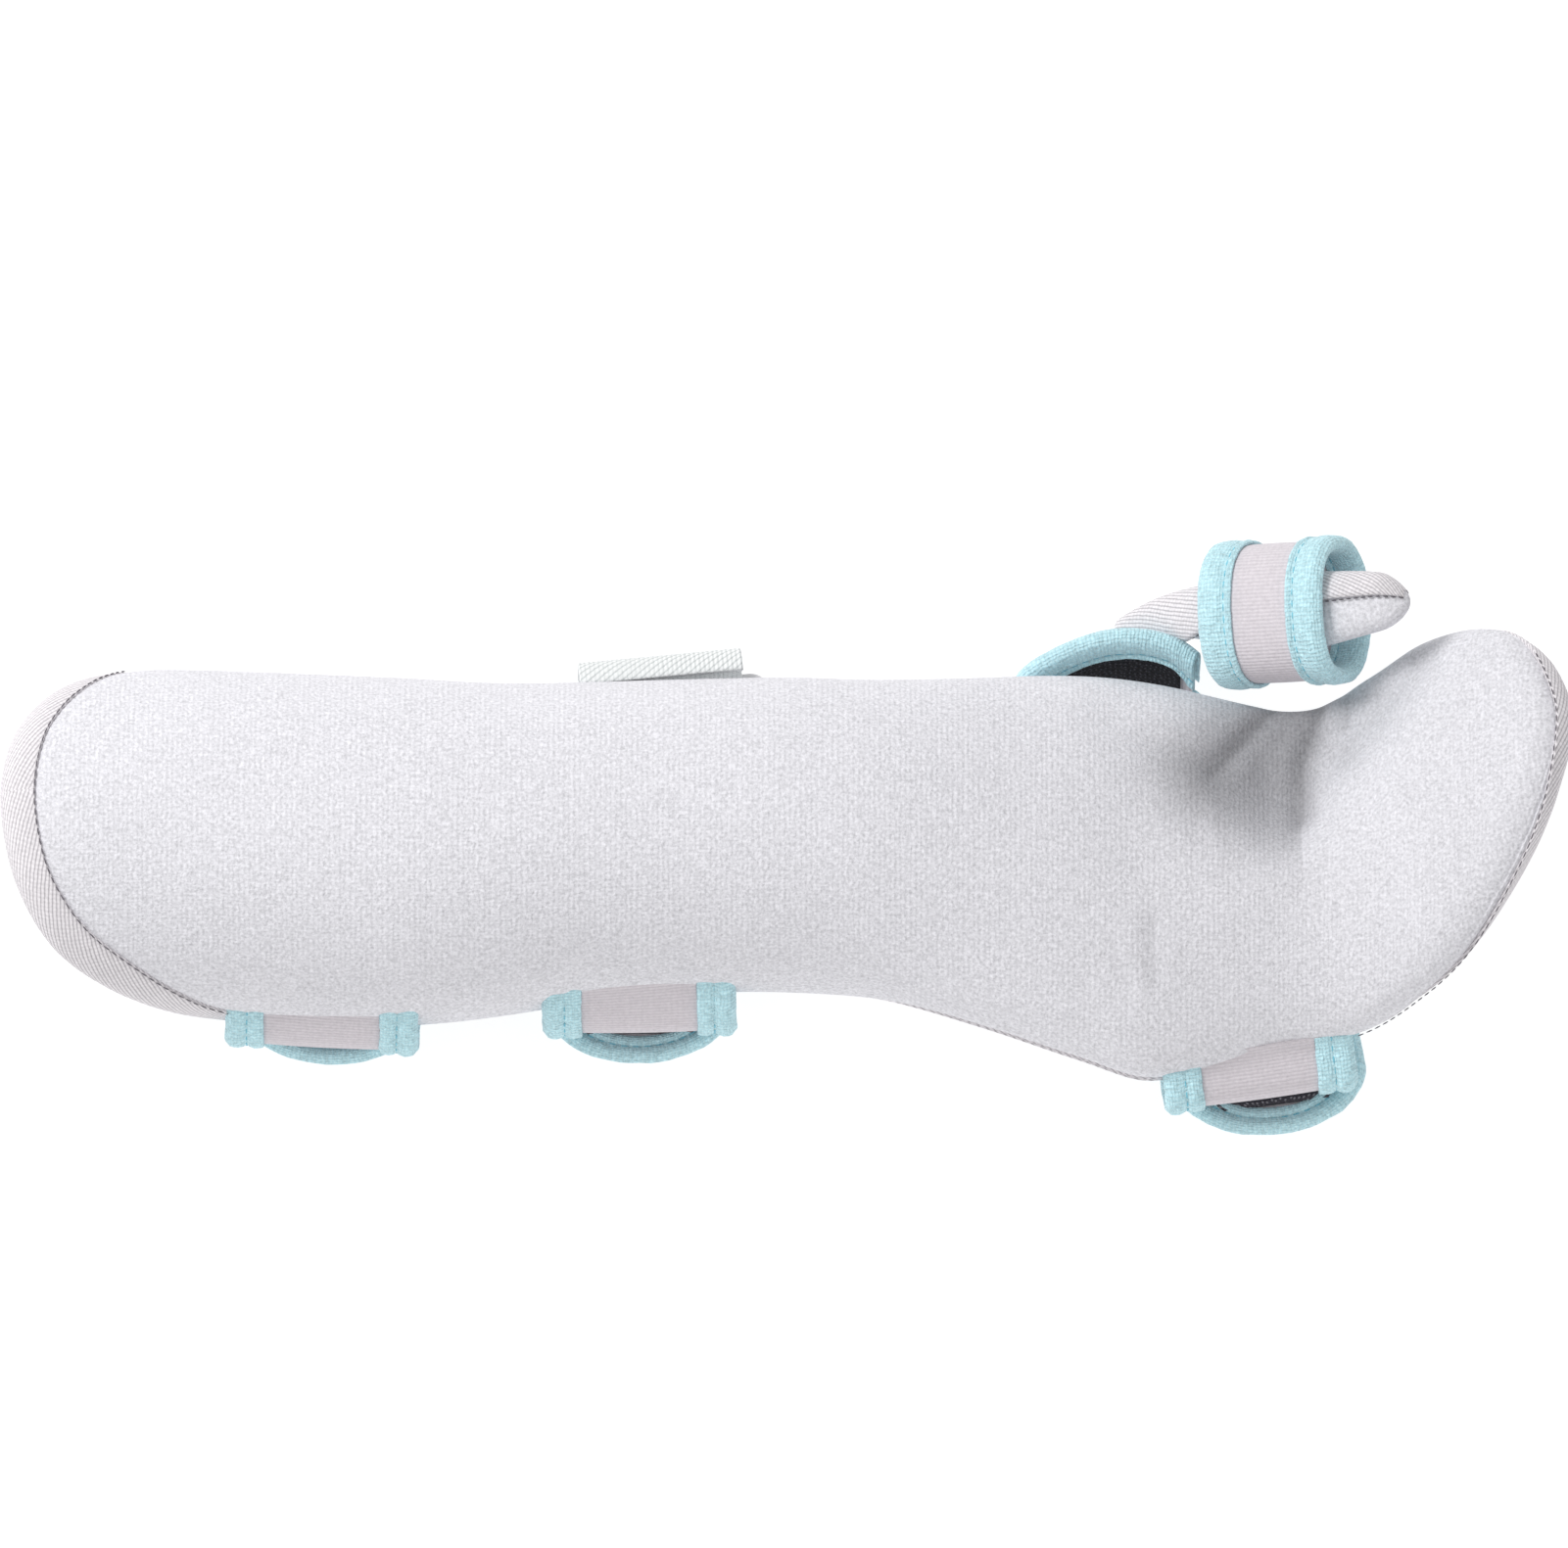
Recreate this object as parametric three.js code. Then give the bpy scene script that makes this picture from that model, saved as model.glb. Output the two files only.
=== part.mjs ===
// Wrist fracture brace: a padded trough for the forearm, wrist and fingers with a bound edge,
// three straps that turn back through flat rings, and a padded thumb stay held in its own band.
// Millimetres, +Z up. The brace lies on its straps with the open side down.
// X runs from the elbow end to the finger end, +Y is the thumb side.
import * as THREE from "three";
import { LoftGeometry } from "three/addons/geometries/LoftGeometry.js";
import { mergeVertices } from "three/addons/utils/BufferGeometryUtils.js";

// Driving dimensions
const padThickness = 12;
const padEdgeRound = 8;
const tapeThickness = 1.2;
const tapeBackReach = 6.2;
const tapeRebate = 1.5;
const tapeSeat = 0.5;
const tapeRound = 6;
const pieceGap = 0.4;
const strapWidth = 47;
const strapWeb = 1.8;
const bindingThickness = 0.75;
const bindingReach = 8.5;
const bindingGap = 0.35;
const hookThickness = 0.8;
const lowerLayerHeight = strapWeb / 2 + bindingGap + bindingThickness;
const layerSpacing = 6.2;
const upperLayerHeight = lowerLayerHeight + layerSpacing;
const ringThickness = 1.5;
const ringBar = 4;
const ringLength = 30;
const ringWidth = 68;
const webbingThickness = 1.3;
const loopBulge = 2.2;
const thumbBandWidth = 35;
const thumbBandWeb = 1.6;

// Sections of the trough's outer face, one row for each station along the arm
const sections = [
  { x: 0, crownY: 42.6, crownZ: 65, radialHalf: 45.2, ulnarHalf: 45.2, depth: 45 },
  { x: 50, crownY: 42.6, crownZ: 65, radialHalf: 45.2, ulnarHalf: 45.2, depth: 45 },
  { x: 100, crownY: 40.7, crownZ: 65, radialHalf: 45.2, ulnarHalf: 45.2, depth: 45 },
  { x: 125, crownY: 40.9, crownZ: 64, radialHalf: 43.5, ulnarHalf: 43.5, depth: 43.5 },
  { x: 150, crownY: 43.0, crownZ: 62.5, radialHalf: 41.7, ulnarHalf: 41.7, depth: 42 },
  { x: 175, crownY: 44.3, crownZ: 62, radialHalf: 41, ulnarHalf: 41, depth: 41 },
  { x: 200, crownY: 44.6, crownZ: 62, radialHalf: 41.2, ulnarHalf: 41.2, depth: 41 },
  { x: 225, crownY: 43.3, crownZ: 60.5, radialHalf: 42.1, ulnarHalf: 42.1, depth: 40 },
  { x: 250, crownY: 40.1, crownZ: 56, radialHalf: 46.3, ulnarHalf: 46.3, depth: 36 },
  { x: 275, crownY: 36.4, crownZ: 51, radialHalf: 51.2, ulnarHalf: 51.2, depth: 33 },
  { x: 293, crownY: 33.2, crownZ: 46.5, radialHalf: 53.3, ulnarHalf: 53.3, depth: 30 },
  { x: 325, crownY: 33.4, crownZ: 43, radialHalf: 46.8, ulnarHalf: 46.8, depth: 27 },
  { x: 337, crownY: 34.6, crownZ: 44, radialHalf: 46, ulnarHalf: 46, depth: 26 },
  { x: 350, crownY: 37, crownZ: 49, radialHalf: 50.2, ulnarHalf: 46, depth: 25 },
  { x: 361.5, crownY: 40, crownZ: 55, radialHalf: 53.8, ulnarHalf: 46, depth: 24 },
  { x: 375, crownY: 42, crownZ: 60.5, radialHalf: 55.6, ulnarHalf: 46, depth: 22 },
  { x: 398.5, crownY: 44, crownZ: 71, radialHalf: 55, ulnarHalf: 46, depth: 20 },
];

// Edge of the trough: how far round each section it reaches on either side, in degrees from the crown,
// and how far the edge tape reaches in over the outer face there
const edges = [
  { x: 2, ulnar: -4, radial: 4, ulnarTape: 6.5, radialTape: 6.5 },
  { x: 4.2, ulnar: 19.5, radial: 24.5, ulnarTape: 7, radialTape: 6.5 },
  { x: 8.6, ulnar: 37, radial: 39, ulnarTape: 8.5, radialTape: 6.5 },
  { x: 15, ulnar: 53, radial: 53, ulnarTape: 10.5, radialTape: 6 },
  { x: 24, ulnar: 67, radial: 67, ulnarTape: 12, radialTape: 4.5 },
  { x: 36, ulnar: 82, radial: 83, ulnarTape: 12, radialTape: 2.5 },
  { x: 47, ulnar: 92.5, radial: 95, ulnarTape: 11, radialTape: 2 },
  { x: 60, ulnar: 98, radial: 100, ulnarTape: 9, radialTape: 2 },
  { x: 80, ulnar: 100, radial: 100, ulnarTape: 5, radialTape: 2 },
  { x: 110, ulnar: 100, radial: 100, ulnarTape: 2.2, radialTape: 2 },
  { x: 210, ulnar: 97, radial: 98, ulnarTape: 2, radialTape: 2 },
  { x: 235, ulnar: 94, radial: 96, ulnarTape: 2, radialTape: 2 },
  { x: 275, ulnar: 90, radial: 92, ulnarTape: 2, radialTape: 2 },
  { x: 293, ulnar: 88, radial: 90, ulnarTape: 2, radialTape: 2 },
  { x: 325, ulnar: 88, radial: 88, ulnarTape: 2, radialTape: 2 },
  { x: 340, ulnar: 88, radial: 88, ulnarTape: 1.6, radialTape: 2 },
  { x: 352, ulnar: 83, radial: 88, ulnarTape: 1, radialTape: 2 },
  { x: 361.5, ulnar: 65, radial: 87, ulnarTape: 0.6, radialTape: 1.6 },
  { x: 369, ulnar: 51, radial: 81, ulnarTape: 0.5, radialTape: 1 },
  { x: 377, ulnar: 33.5, radial: 72.5, ulnarTape: 0.5, radialTape: 0.8 },
  { x: 385.5, ulnar: 13.5, radial: 56.5, ulnarTape: 0.5, radialTape: 0.8 },
  { x: 390.8, ulnar: -3, radial: 43, ulnarTape: 0.6, radialTape: 0.8 },
  { x: 394, ulnar: -15, radial: 31, ulnarTape: 0.8, radialTape: 0.8 },
  { x: 395, ulnar: -23, radial: 23, ulnarTape: 0.8, radialTape: 0.8 },
];

// Folds of the palm: a valley of this depth and breadth pressed in along a short line,
// and the share of it that shows inside the trough
const folds = [
  { fromX: 327, fromY: 72, toX: 325, toY: 57, depth: 17, breadth: 16, inside: 0.3 },
  { fromX: 322, fromY: 74.5, toX: 309, toY: 58.5, depth: 3.5, breadth: 5, inside: 0.1 },
  { fromX: 335, fromY: 73, toX: 331.3, toY: 46, depth: 4, breadth: 6, inside: 0.1 },
  { fromX: 360.5, fromY: 84, toX: 342, toY: 64, depth: 4.5, breadth: 8, inside: 0.3 },
];

// Straps: where each is sewn to the ulnar wall, how it is turned and seated, how far its top leans in
// and its fold bellies out, where its tongue ends and how far the tongue drifts sideways
const straps = [
  { name: "forearm", x: 83.5, turn: -3, top: 30, seat: 0, lead: 1.2, belly: 0, tongue: 4.9, drift: 1 },
  { name: "wrist", x: 161.4, turn: 1, top: 30, seat: 0, lead: 2.4, belly: 0, tongue: 8.6, drift: 0 },
  { name: "hand", x: 313.5, turn: 8, top: 24.5, seat: 1.4, lead: 1.4, belly: 2.6, tongue: 11.6, drift: 3.6 },
];

// Ring loops on the thumb side: the webbing's middle, turn, width and top, where the ring's outer bar sits,
// and how far inside the wall a hidden loop hangs
const loops = [
  { name: "forearm", x: 87, turn: -2, width: 40, top: 27, ringShift: -17, ringSide: 0, inside: 14.4 },
  { name: "wrist", x: 171.7, turn: 5.5, width: 42, top: 30, ringShift: 1.5, ringSide: -6, inside: 0 },
  { name: "hand", x: 310, turn: -6, width: 24, top: 19, ringShift: -22, ringSide: 0, inside: 20.4 },
];

// Thumb stay: path of its middle with the half height and half depth of the pad there
const thumbStations = [
  { x: 285, y: 99.6, z: 12, height: 3.6, depth: 3.2 },
  { x: 297, y: 102.6, z: 20, height: 5, depth: 4.0 },
  { x: 311, y: 100.8, z: 31.5, height: 7.6, depth: 4.6 },
  { x: 326, y: 97.6, z: 42, height: 10, depth: 4.8 },
  { x: 347, y: 97.6, z: 52.5, height: 7.8, depth: 4.8 },
  { x: 359, y: 97.6, z: 58, height: 5.6, depth: 4.3 },
];
const thumbBand = { x: 327.1, y: 100.2, z: 36.5, up: 16.9, front: 13.9, fullness: 2.42 };

// Tab that carries the thumb stay: its middle line, with a long round end towards the elbow
const tabStations = [
  { x: 305, y: 86.8, z: 14.8 },
  { x: 300, y: 90, z: 16.4 },
  { x: 293, y: 92.2, z: 17.2 },
  { x: 286, y: 92.8, z: 17 },
  { x: 279, y: 92.3, z: 16.2 },
  { x: 270, y: 90.3, z: 14.8 },
  { x: 259, y: 87.5, z: 13 },
];
const tabWidth = 22;
const tabTip = 32;
const tabLean = 23.5;
const tabBindingReach = 6;

// Colours and finishes
const finish = (color, roughness) => new THREE.MeshStandardMaterial({ color, roughness, metalness: 0 });
const knitFabric = finish(0xd9d8e2, 0.95);
const twillTape = finish(0xcfccd2, 0.9);
const strapFabric = finish(0xd3d0d5, 0.95);
const blueBinding = finish(0xa9dbe6, 0.95);
const hookFabric = finish(0x4a4a50, 0.9);
const blackHook = finish(0x1b1a1f, 0.9);
const ribbedWebbing = finish(0xcdcdc6, 0.9);
const whitePlastic = finish(0xededee, 0.45);

const radians = THREE.MathUtils.degToRad;
const vector = (x, y, z) => new THREE.Vector3(x, y, z);
const upward = vector(0, 0, 1);

// Smooth value of one column of a table at a place along x
function columnAt(table, column, x) {
  const last = table.length - 1;
  if (x <= table[0].x) return table[0][column];
  if (x >= table[last].x) return table[last][column];
  let i = 0;
  while (table[i + 1].x < x) i += 1;
  const slope = (k) => {
    const before = table[Math.max(k - 1, 0)];
    const after = table[Math.min(k + 1, last)];
    return (after[column] - before[column]) / (after.x - before.x);
  };
  const span = table[i + 1].x - table[i].x;
  const t = (x - table[i].x) / span;
  const startPart = (1 + 2 * t) * (1 - t) * (1 - t) * table[i][column];
  const endPart = t * t * (3 - 2 * t) * table[i + 1][column];
  const startSlope = t * (1 - t) * (1 - t) * span * slope(i);
  const endSlope = t * t * (t - 1) * span * slope(i + 1);
  return startPart + endPart + startSlope + endSlope;
}

// Closed solid through rings of points, each ring given as its outer row and its inner row
function loftSolid(rings, { closed = false, capStart = true, capEnd = true } = {}) {
  const areaVector = (ring) => {
    const area = vector(0, 0, 0);
    ring.forEach((point, i) => area.add(point.clone().cross(ring[(i + 1) % ring.length])));
    return area;
  };
  const middle = (ring) => ring.reduce((sum, point) => sum.add(point), vector(0, 0, 0)).divideScalar(ring.length);
  const probe = Math.floor(rings.length / 2);
  const travel = middle(rings[probe]).sub(middle(rings[probe - 1]));
  const ordered = areaVector(rings[probe]).dot(travel) > 0 ? rings : rings.map((ring) => [...ring].reverse());
  const rows = closed ? [...ordered, ordered[0]] : ordered;
  const skin = new LoftGeometry(rows, { capStart: !closed && capStart, capEnd: !closed && capEnd });
  const loft = new THREE.BufferGeometry().copy(skin);
  loft.deleteAttribute("uv");
  loft.deleteAttribute("normal");
  const welded = mergeVertices(loft, 1e-3);
  const corners = Array.from(welded.getIndex().array);
  const kept = [];
  for (let i = 0; i < corners.length; i += 3) {
    const [a, b, c] = corners.slice(i, i + 3);
    if (a !== b && b !== c && c !== a) kept.push(a, b, c);
  }
  welded.setIndex(kept);
  welded.computeVertexNormals();
  return welded;
}

function piece(name, geometry, material) {
  const mesh = new THREE.Mesh(geometry, material);
  mesh.name = name;
  return mesh;
}

// Depth of the folds at a place in plan; keep is 1 on the outer face and less inside
function foldDepth(x, y, keep) {
  let depth = 0;
  for (const fold of folds) {
    const runX = fold.toX - fold.fromX;
    const runY = fold.toY - fold.fromY;
    const along = ((x - fold.fromX) * runX + (y - fold.fromY) * runY) / (runX * runX + runY * runY);
    const t = THREE.MathUtils.clamp(along, 0, 1);
    const away = Math.hypot(x - fold.fromX - t * runX, y - fold.fromY - t * runY);
    const shown = THREE.MathUtils.lerp(fold.inside, 1, keep);
    depth += fold.depth * shown * Math.exp(-((away / fold.breadth) ** 2));
  }
  return depth;
}

// Outer face of the trough at a station and an angle from the crown, radial side positive
function trough(x, angle, keep = 1) {
  const half = columnAt(sections, angle > 0 ? "radialHalf" : "ulnarHalf", x);
  const y = columnAt(sections, "crownY", x) + half * Math.sin(angle);
  const drop = columnAt(sections, "depth", x) * (1 - Math.cos(angle));
  const sink = foldDepth(x, y, keep) * Math.max(Math.cos(angle), 0) ** 2;
  return vector(x, y, columnAt(sections, "crownZ", x) - drop - sink);
}

function troughFrame(x, angle, keep = 1) {
  const step = 0.01;
  const alongX = trough(x + 1, angle, keep).sub(trough(x - 1, angle, keep)).divideScalar(2);
  const alongAngle = trough(x, angle + step, keep).sub(trough(x, angle - step, keep)).divideScalar(2 * step);
  const normal = alongX.clone().cross(alongAngle).normalize();
  return { point: trough(x, angle, keep), alongX, alongAngle, normal };
}

// Edge row at a place between table rows; past either end it turns back along the other side
function edgeAt(place) {
  const last = edges.length - 1;
  const row = (i) => {
    if (i >= 0 && i <= last) return edges[i];
    const mirror = edges[i < 0 ? -i : 2 * last - i];
    return { ...mirror, ulnar: -mirror.radial, radial: -mirror.ulnar };
  };
  const i = Math.min(Math.floor(place), last - 1);
  const t = place - i;
  const blend = (column) => {
    const [a, b, c, d] = [row(i - 1), row(i), row(i + 1), row(i + 2)].map((entry) => entry[column]);
    const curve = 2 * a - 5 * b + 4 * c - d + (3 * b - a - 3 * c + d) * t;
    return b + 0.5 * t * (c - a + t * curve);
  };
  return {
    x: blend("x"),
    ulnar: -radians(blend("ulnar")),
    radial: radians(blend("radial")),
    ulnarTape: blend("ulnarTape"),
    radialTape: blend("radialTape"),
  };
}

// The whole outline of the trough, once round, as stations and angles
const rowsPerStep = 2;
const edgeRows = [];
for (let i = 0; i <= (edges.length - 1) * rowsPerStep; i += 1) edgeRows.push(edgeAt(i / rowsPerStep));
const outline = [
  ...edgeRows.map((row) => ({ x: row.x, angle: row.ulnar, tape: row.ulnarTape })),
  ...edgeRows.slice(1, -1).reverse().map((row) => ({ x: row.x, angle: row.radial, tape: row.radialTape })),
];
const outlinePoints = outline.map((place) => trough(place.x, place.angle));

function distanceToOutline(point) {
  let nearest = Infinity;
  outlinePoints.forEach((start, i) => {
    const run = new THREE.Line3(start, outlinePoints[(i + 1) % outlinePoints.length]);
    nearest = Math.min(nearest, run.closestPointToPoint(point, true, vector(0, 0, 0)).distanceTo(point));
  });
  return nearest;
}

// How much of the folds the inner face keeps at a distance from the edge
const foldKept = (away) => 1 - THREE.MathUtils.smoothstep(away, 2, 14);

// Padded trough, full in the middle and rounded towards its edge
function buildShellPad() {
  const columns = 16;
  const rings = edgeRows.map((row) => {
    const outer = [];
    const inner = [];
    for (let k = 0; k <= columns; k += 1) {
      const share = 0.5 - 0.5 * Math.cos((Math.PI * k) / columns);
      const angle = THREE.MathUtils.lerp(row.ulnar, row.radial, share);
      const tape = THREE.MathUtils.lerp(row.ulnarTape, row.radialTape, share);
      const front = troughFrame(row.x, angle);
      const away = distanceToOutline(front.point);
      const back = troughFrame(row.x, angle, foldKept(away));
      const inset = Math.min(away / padEdgeRound, 1);
      const seat = (reach) => tapeRebate * (1 - THREE.MathUtils.smoothstep(away, reach, reach + 4));
      const frontSeat = seat(tape) * THREE.MathUtils.smoothstep(tape, 3, 7);
      const half = padThickness / 2;
      const round = Math.sqrt(1 - (1 - inset) ** 2);
      outer.push(front.point.addScaledVector(front.normal, (half - frontSeat) * round - half));
      inner.push(back.point.addScaledVector(back.normal, -(half - seat(tapeBackReach)) * round - half));
    }
    return [...outer, ...inner.reverse()];
  });
  return piece("shell_pad", loftSolid(rings, { capStart: false, capEnd: false }), knitFabric);
}

// Profile of the edge tape: distance in from the edge and rise above the pad's middle
function tapeProfile(reach) {
  const half = padThickness / 2 - tapeSeat;
  const clear = pieceGap + tapeThickness / 2;
  const cornerEase = 1.1;
  const first = Math.asin(1 - Math.min(reach / tapeRound, 1));
  const line = [];
  for (let k = 0; k <= 4; k += 1) {
    const turn = THREE.MathUtils.lerp(first, Math.PI, k / 4);
    const sine = Math.sin(turn);
    const cosine = Math.cos(turn);
    const length = Math.hypot(sine / tapeRound, cosine / half);
    const outTurn = sine / tapeRound / length;
    const riseTurn = cosine / half / length;
    const offset = clear + cornerEase * sine;
    line.push({
      inward: tapeRound * (1 - sine) - offset * outTurn,
      rise: half * cosine + offset * riseTurn,
      outTurn,
      riseTurn,
    });
  }
  const front = line[0];
  const lap = Math.max(reach - front.inward, 0.6);
  line.unshift({ ...front, inward: front.inward + lap * front.riseTurn, rise: front.rise + lap * front.outTurn });
  line.push({ inward: tapeBackReach, rise: -half - clear, outTurn: 0, riseTurn: -1 });
  return line;
}

// Edge tape folded round the rim of the pad
function buildShellBinding() {
  const rings = outline.map((place, i) => {
    const frame = troughFrame(place.x, place.angle);
    const before = outlinePoints[(i + outline.length - 1) % outline.length];
    const after = outlinePoints[(i + 1) % outline.length];
    const outward = after.clone().sub(before).cross(frame.normal).normalize();
    const xx = frame.alongX.dot(frame.alongX);
    const xa = frame.alongX.dot(frame.alongAngle);
    const aa = frame.alongAngle.dot(frame.alongAngle);
    const outX = outward.dot(frame.alongX);
    const outAngle = outward.dot(frame.alongAngle);
    const spread = xx * aa - xa * xa;
    const stepX = (aa * outX - xa * outAngle) / spread;
    const stepAngle = (xx * outAngle - xa * outX) / spread;
    const line = tapeProfile(place.tape);
    const at = (entry, side) => {
      const inward = entry.inward - (side * tapeThickness * entry.outTurn) / 2;
      const rise = entry.rise + (side * tapeThickness * entry.riseTurn) / 2;
      const keep = rise < 0 ? foldKept(inward) : 1;
      const spot = troughFrame(place.x - inward * stepX, place.angle - inward * stepAngle, keep);
      return spot.point.addScaledVector(spot.normal, rise - padThickness / 2);
    };
    return [...line.map((entry) => at(entry, 1)), ...line.map((entry) => at(entry, -1)).reverse()];
  });
  return piece("shell_binding", loftSolid(rings, { closed: true }), twillTape);
}

// Frames along a strip whose width lies along one direction
function stripFrames(points, across) {
  let distance = 0;
  return points.map((point, i) => {
    const before = points[Math.max(i - 1, 0)];
    const after = points[Math.min(i + 1, points.length - 1)];
    const along = after.clone().sub(before).normalize();
    if (i > 0) distance += point.distanceTo(points[i - 1]);
    return { point, along, normal: across.clone().cross(along).normalize(), distance };
  });
}

// Frame at a distance along a strip
function frameAt(frames, distance) {
  const last = frames.length - 1;
  let i = 0;
  while (i < last - 1 && frames[i + 1].distance < distance) i += 1;
  const [start, end] = [frames[i], frames[i + 1]];
  const t = (distance - start.distance) / (end.distance - start.distance);
  const mix = (key) => start[key].clone().lerp(end[key], t);
  return { point: mix("point"), along: mix("along").normalize(), normal: mix("normal").normalize(), distance };
}

// Points of a strip with a round tip: frames up to the tip, then frames along the tip with their half width
function stripStations(frames, width, tip) {
  const tipStart = frames[frames.length - 1].distance - tip;
  const straight = frames.filter((frame) => frame.distance < tipStart - 0.5);
  const stations = straight.map((frame) => ({ ...frame, half: width / 2, turn: 0 }));
  for (let turn = 0; turn <= 90; turn += 18) {
    const frame = frameAt(frames, tipStart + tip * Math.sin(radians(turn)));
    stations.push({ ...frame, half: (width / 2) * Math.cos(radians(turn)), turn });
  }
  return stations;
}

function buildStripWeb(name, frames, across, width, thickness, tip, material) {
  const stations = tip > 0 ? stripStations(frames, width, tip) : frames.map((frame) => ({ ...frame, half: width / 2 }));
  const rings = stations.map((station) => {
    const corner = (side, face) => station.point.clone()
      .addScaledVector(across, side * station.half)
      .addScaledVector(station.normal, (face * thickness) / 2);
    return [corner(-1, 1), corner(1, 1), corner(1, -1), corner(-1, -1)];
  });
  return piece(name, loftSolid(rings, { capEnd: tip === 0 }), material);
}

// Binding tape profile round the edge of a strip: outward distance and rise above its middle
function bindingProfile(web, reach) {
  const rise = web / 2 + bindingGap + bindingThickness / 2;
  const out = bindingGap + bindingThickness / 2;
  return [
    { out: -reach, rise, outTurn: 0, riseTurn: 1 },
    { out, rise, outTurn: 1, riseTurn: 1 },
    { out, rise: -rise, outTurn: 1, riseTurn: -1 },
    { out: -reach, rise: -rise, outTurn: 0, riseTurn: -1 },
  ];
}

function bindingRing(profile, point, outward, normal) {
  const at = (entry, side) => point.clone()
    .addScaledVector(outward, entry.out + (side * bindingThickness * entry.outTurn) / 2)
    .addScaledVector(normal, entry.rise + (side * bindingThickness * entry.riseTurn) / 2);
  return [...profile.map((entry) => at(entry, 1)), ...profile.map((entry) => at(entry, -1)).reverse()];
}

function buildStripBinding(name, frames, across, { width, web, tip, start, reach }, material) {
  const profile = bindingProfile(web, reach);
  const stations = stripStations(frames, width, tip).filter((station) => station.distance >= start);
  const side = (sign) => stations.map((station) => {
    const lean = Math.atan2(Math.sin(radians(station.turn)) * width, Math.cos(radians(station.turn)) * 2 * tip);
    const outward = station.along.clone().multiplyScalar(Math.sin(lean)).addScaledVector(across, sign * Math.cos(lean));
    const edge = station.point.clone().addScaledVector(across, sign * station.half);
    return bindingRing(profile, edge, outward, station.normal);
  });
  const rings = [...side(-1), ...side(1).slice(0, -1).reverse()];
  return piece(name, loftSolid(rings), material);
}

// Plan directions of a strap or loop turned about the upright
function planFrame(x, turn) {
  const across = vector(Math.cos(radians(turn)), Math.sin(radians(turn)), 0);
  const along = vector(-across.y, across.x, 0);
  const origin = vector(x, columnAt(sections, "crownY", x), 0);
  return { across, along, origin };
}

// How far the trough's wall reaches along a plan frame within a width
function wallReach(plan, width, side) {
  let reach = 0;
  for (let share = -0.5; share <= 0.5; share += 0.1) {
    const column = plan.origin.clone().addScaledVector(plan.across, share * width);
    for (let angle = 60; angle <= 90; angle += 3) {
      for (let shift = -20; shift <= 20; shift += 2) {
        const point = trough(column.x + shift, side * radians(angle));
        const offset = point.sub(plan.origin);
        if (Math.abs(offset.dot(plan.across) - share * width) > 2) continue;
        reach = Math.max(reach, side * offset.dot(plan.along));
      }
    }
  }
  return side * reach;
}

const lift = (plan, path, divisions) => path.getPoints(divisions).map(
  (spot) => plan.origin.clone().addScaledVector(plan.along, spot.x).addScaledVector(upward, spot.y),
);

// A strap: sewn to the ulnar wall, under the opening, round the ring bar and back under itself
function buildStrap(strap, ringPlan, barMiddle) {
  const plan = planFrame(strap.x, strap.turn);
  const wall = wallReach(plan, strapWidth, -1);
  const flat = tapeThickness + pieceGap + strapWeb / 2;
  const hang = wall - flat - bindingGap - bindingThickness + strap.seat;
  const barPoint = ringPlan.origin.clone().addScaledVector(ringPlan.along, barMiddle).sub(plan.origin);
  const slack = (strapWidth / 2) * Math.abs(plan.across.dot(ringPlan.along));
  const bar = barPoint.dot(plan.along) + ringBar / 2 + slack + pieceGap;
  const barHeight = (lowerLayerHeight + upperLayerHeight) / 2;
  const path = new THREE.Path();
  const fold = hang - strap.belly;
  path.moveTo(hang + strap.lead, strap.top);
  path.quadraticCurveTo(hang, strap.top - 6, fold, upperLayerHeight + 7);
  path.bezierCurveTo(fold, upperLayerHeight + 2, fold + 2.5, upperLayerHeight, fold + 8, upperLayerHeight);
  path.lineTo(bar, upperLayerHeight);
  path.absarc(bar, barHeight, layerSpacing / 2, Math.PI / 2, -Math.PI / 2, true);
  path.lineTo(wall + 40, lowerLayerHeight);
  path.lineTo(wall - strap.tongue, lowerLayerHeight);
  const points = lift(plan, path, 4);
  points.filter((point) => point.z < barHeight).forEach((point) => {
    const back = bar - point.clone().sub(plan.origin).dot(plan.along);
    point.addScaledVector(plan.across, strap.drift * Math.max(back / (bar - wall), 0));
  });
  const frames = stripFrames(points, plan.across);
  const tip = 15;
  const bound = { width: strapWidth, web: strapWeb, tip, start: 4, reach: bindingReach };
  const end = frames[frames.length - 1];
  const hookFrom = end.distance - 40;
  const hookEnds = [hookFrom, end.distance - 13].map((distance) => ({
    ...end,
    point: end.point.clone().addScaledVector(end.along, distance - end.distance)
      .addScaledVector(upward, strapWeb / 2 + bindingGap + hookThickness / 2),
  }));
  const name = `${strap.name}_strap`;
  return [
    buildStripWeb(name, frames, plan.across, strapWidth, strapWeb, tip, strapFabric),
    buildStripBinding(`${name}_binding`, frames, plan.across, bound, blueBinding),
    buildStripWeb(`${name}_hook`, hookEnds, plan.across, 26, hookThickness, 0, hookFabric),
  ];
}

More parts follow.
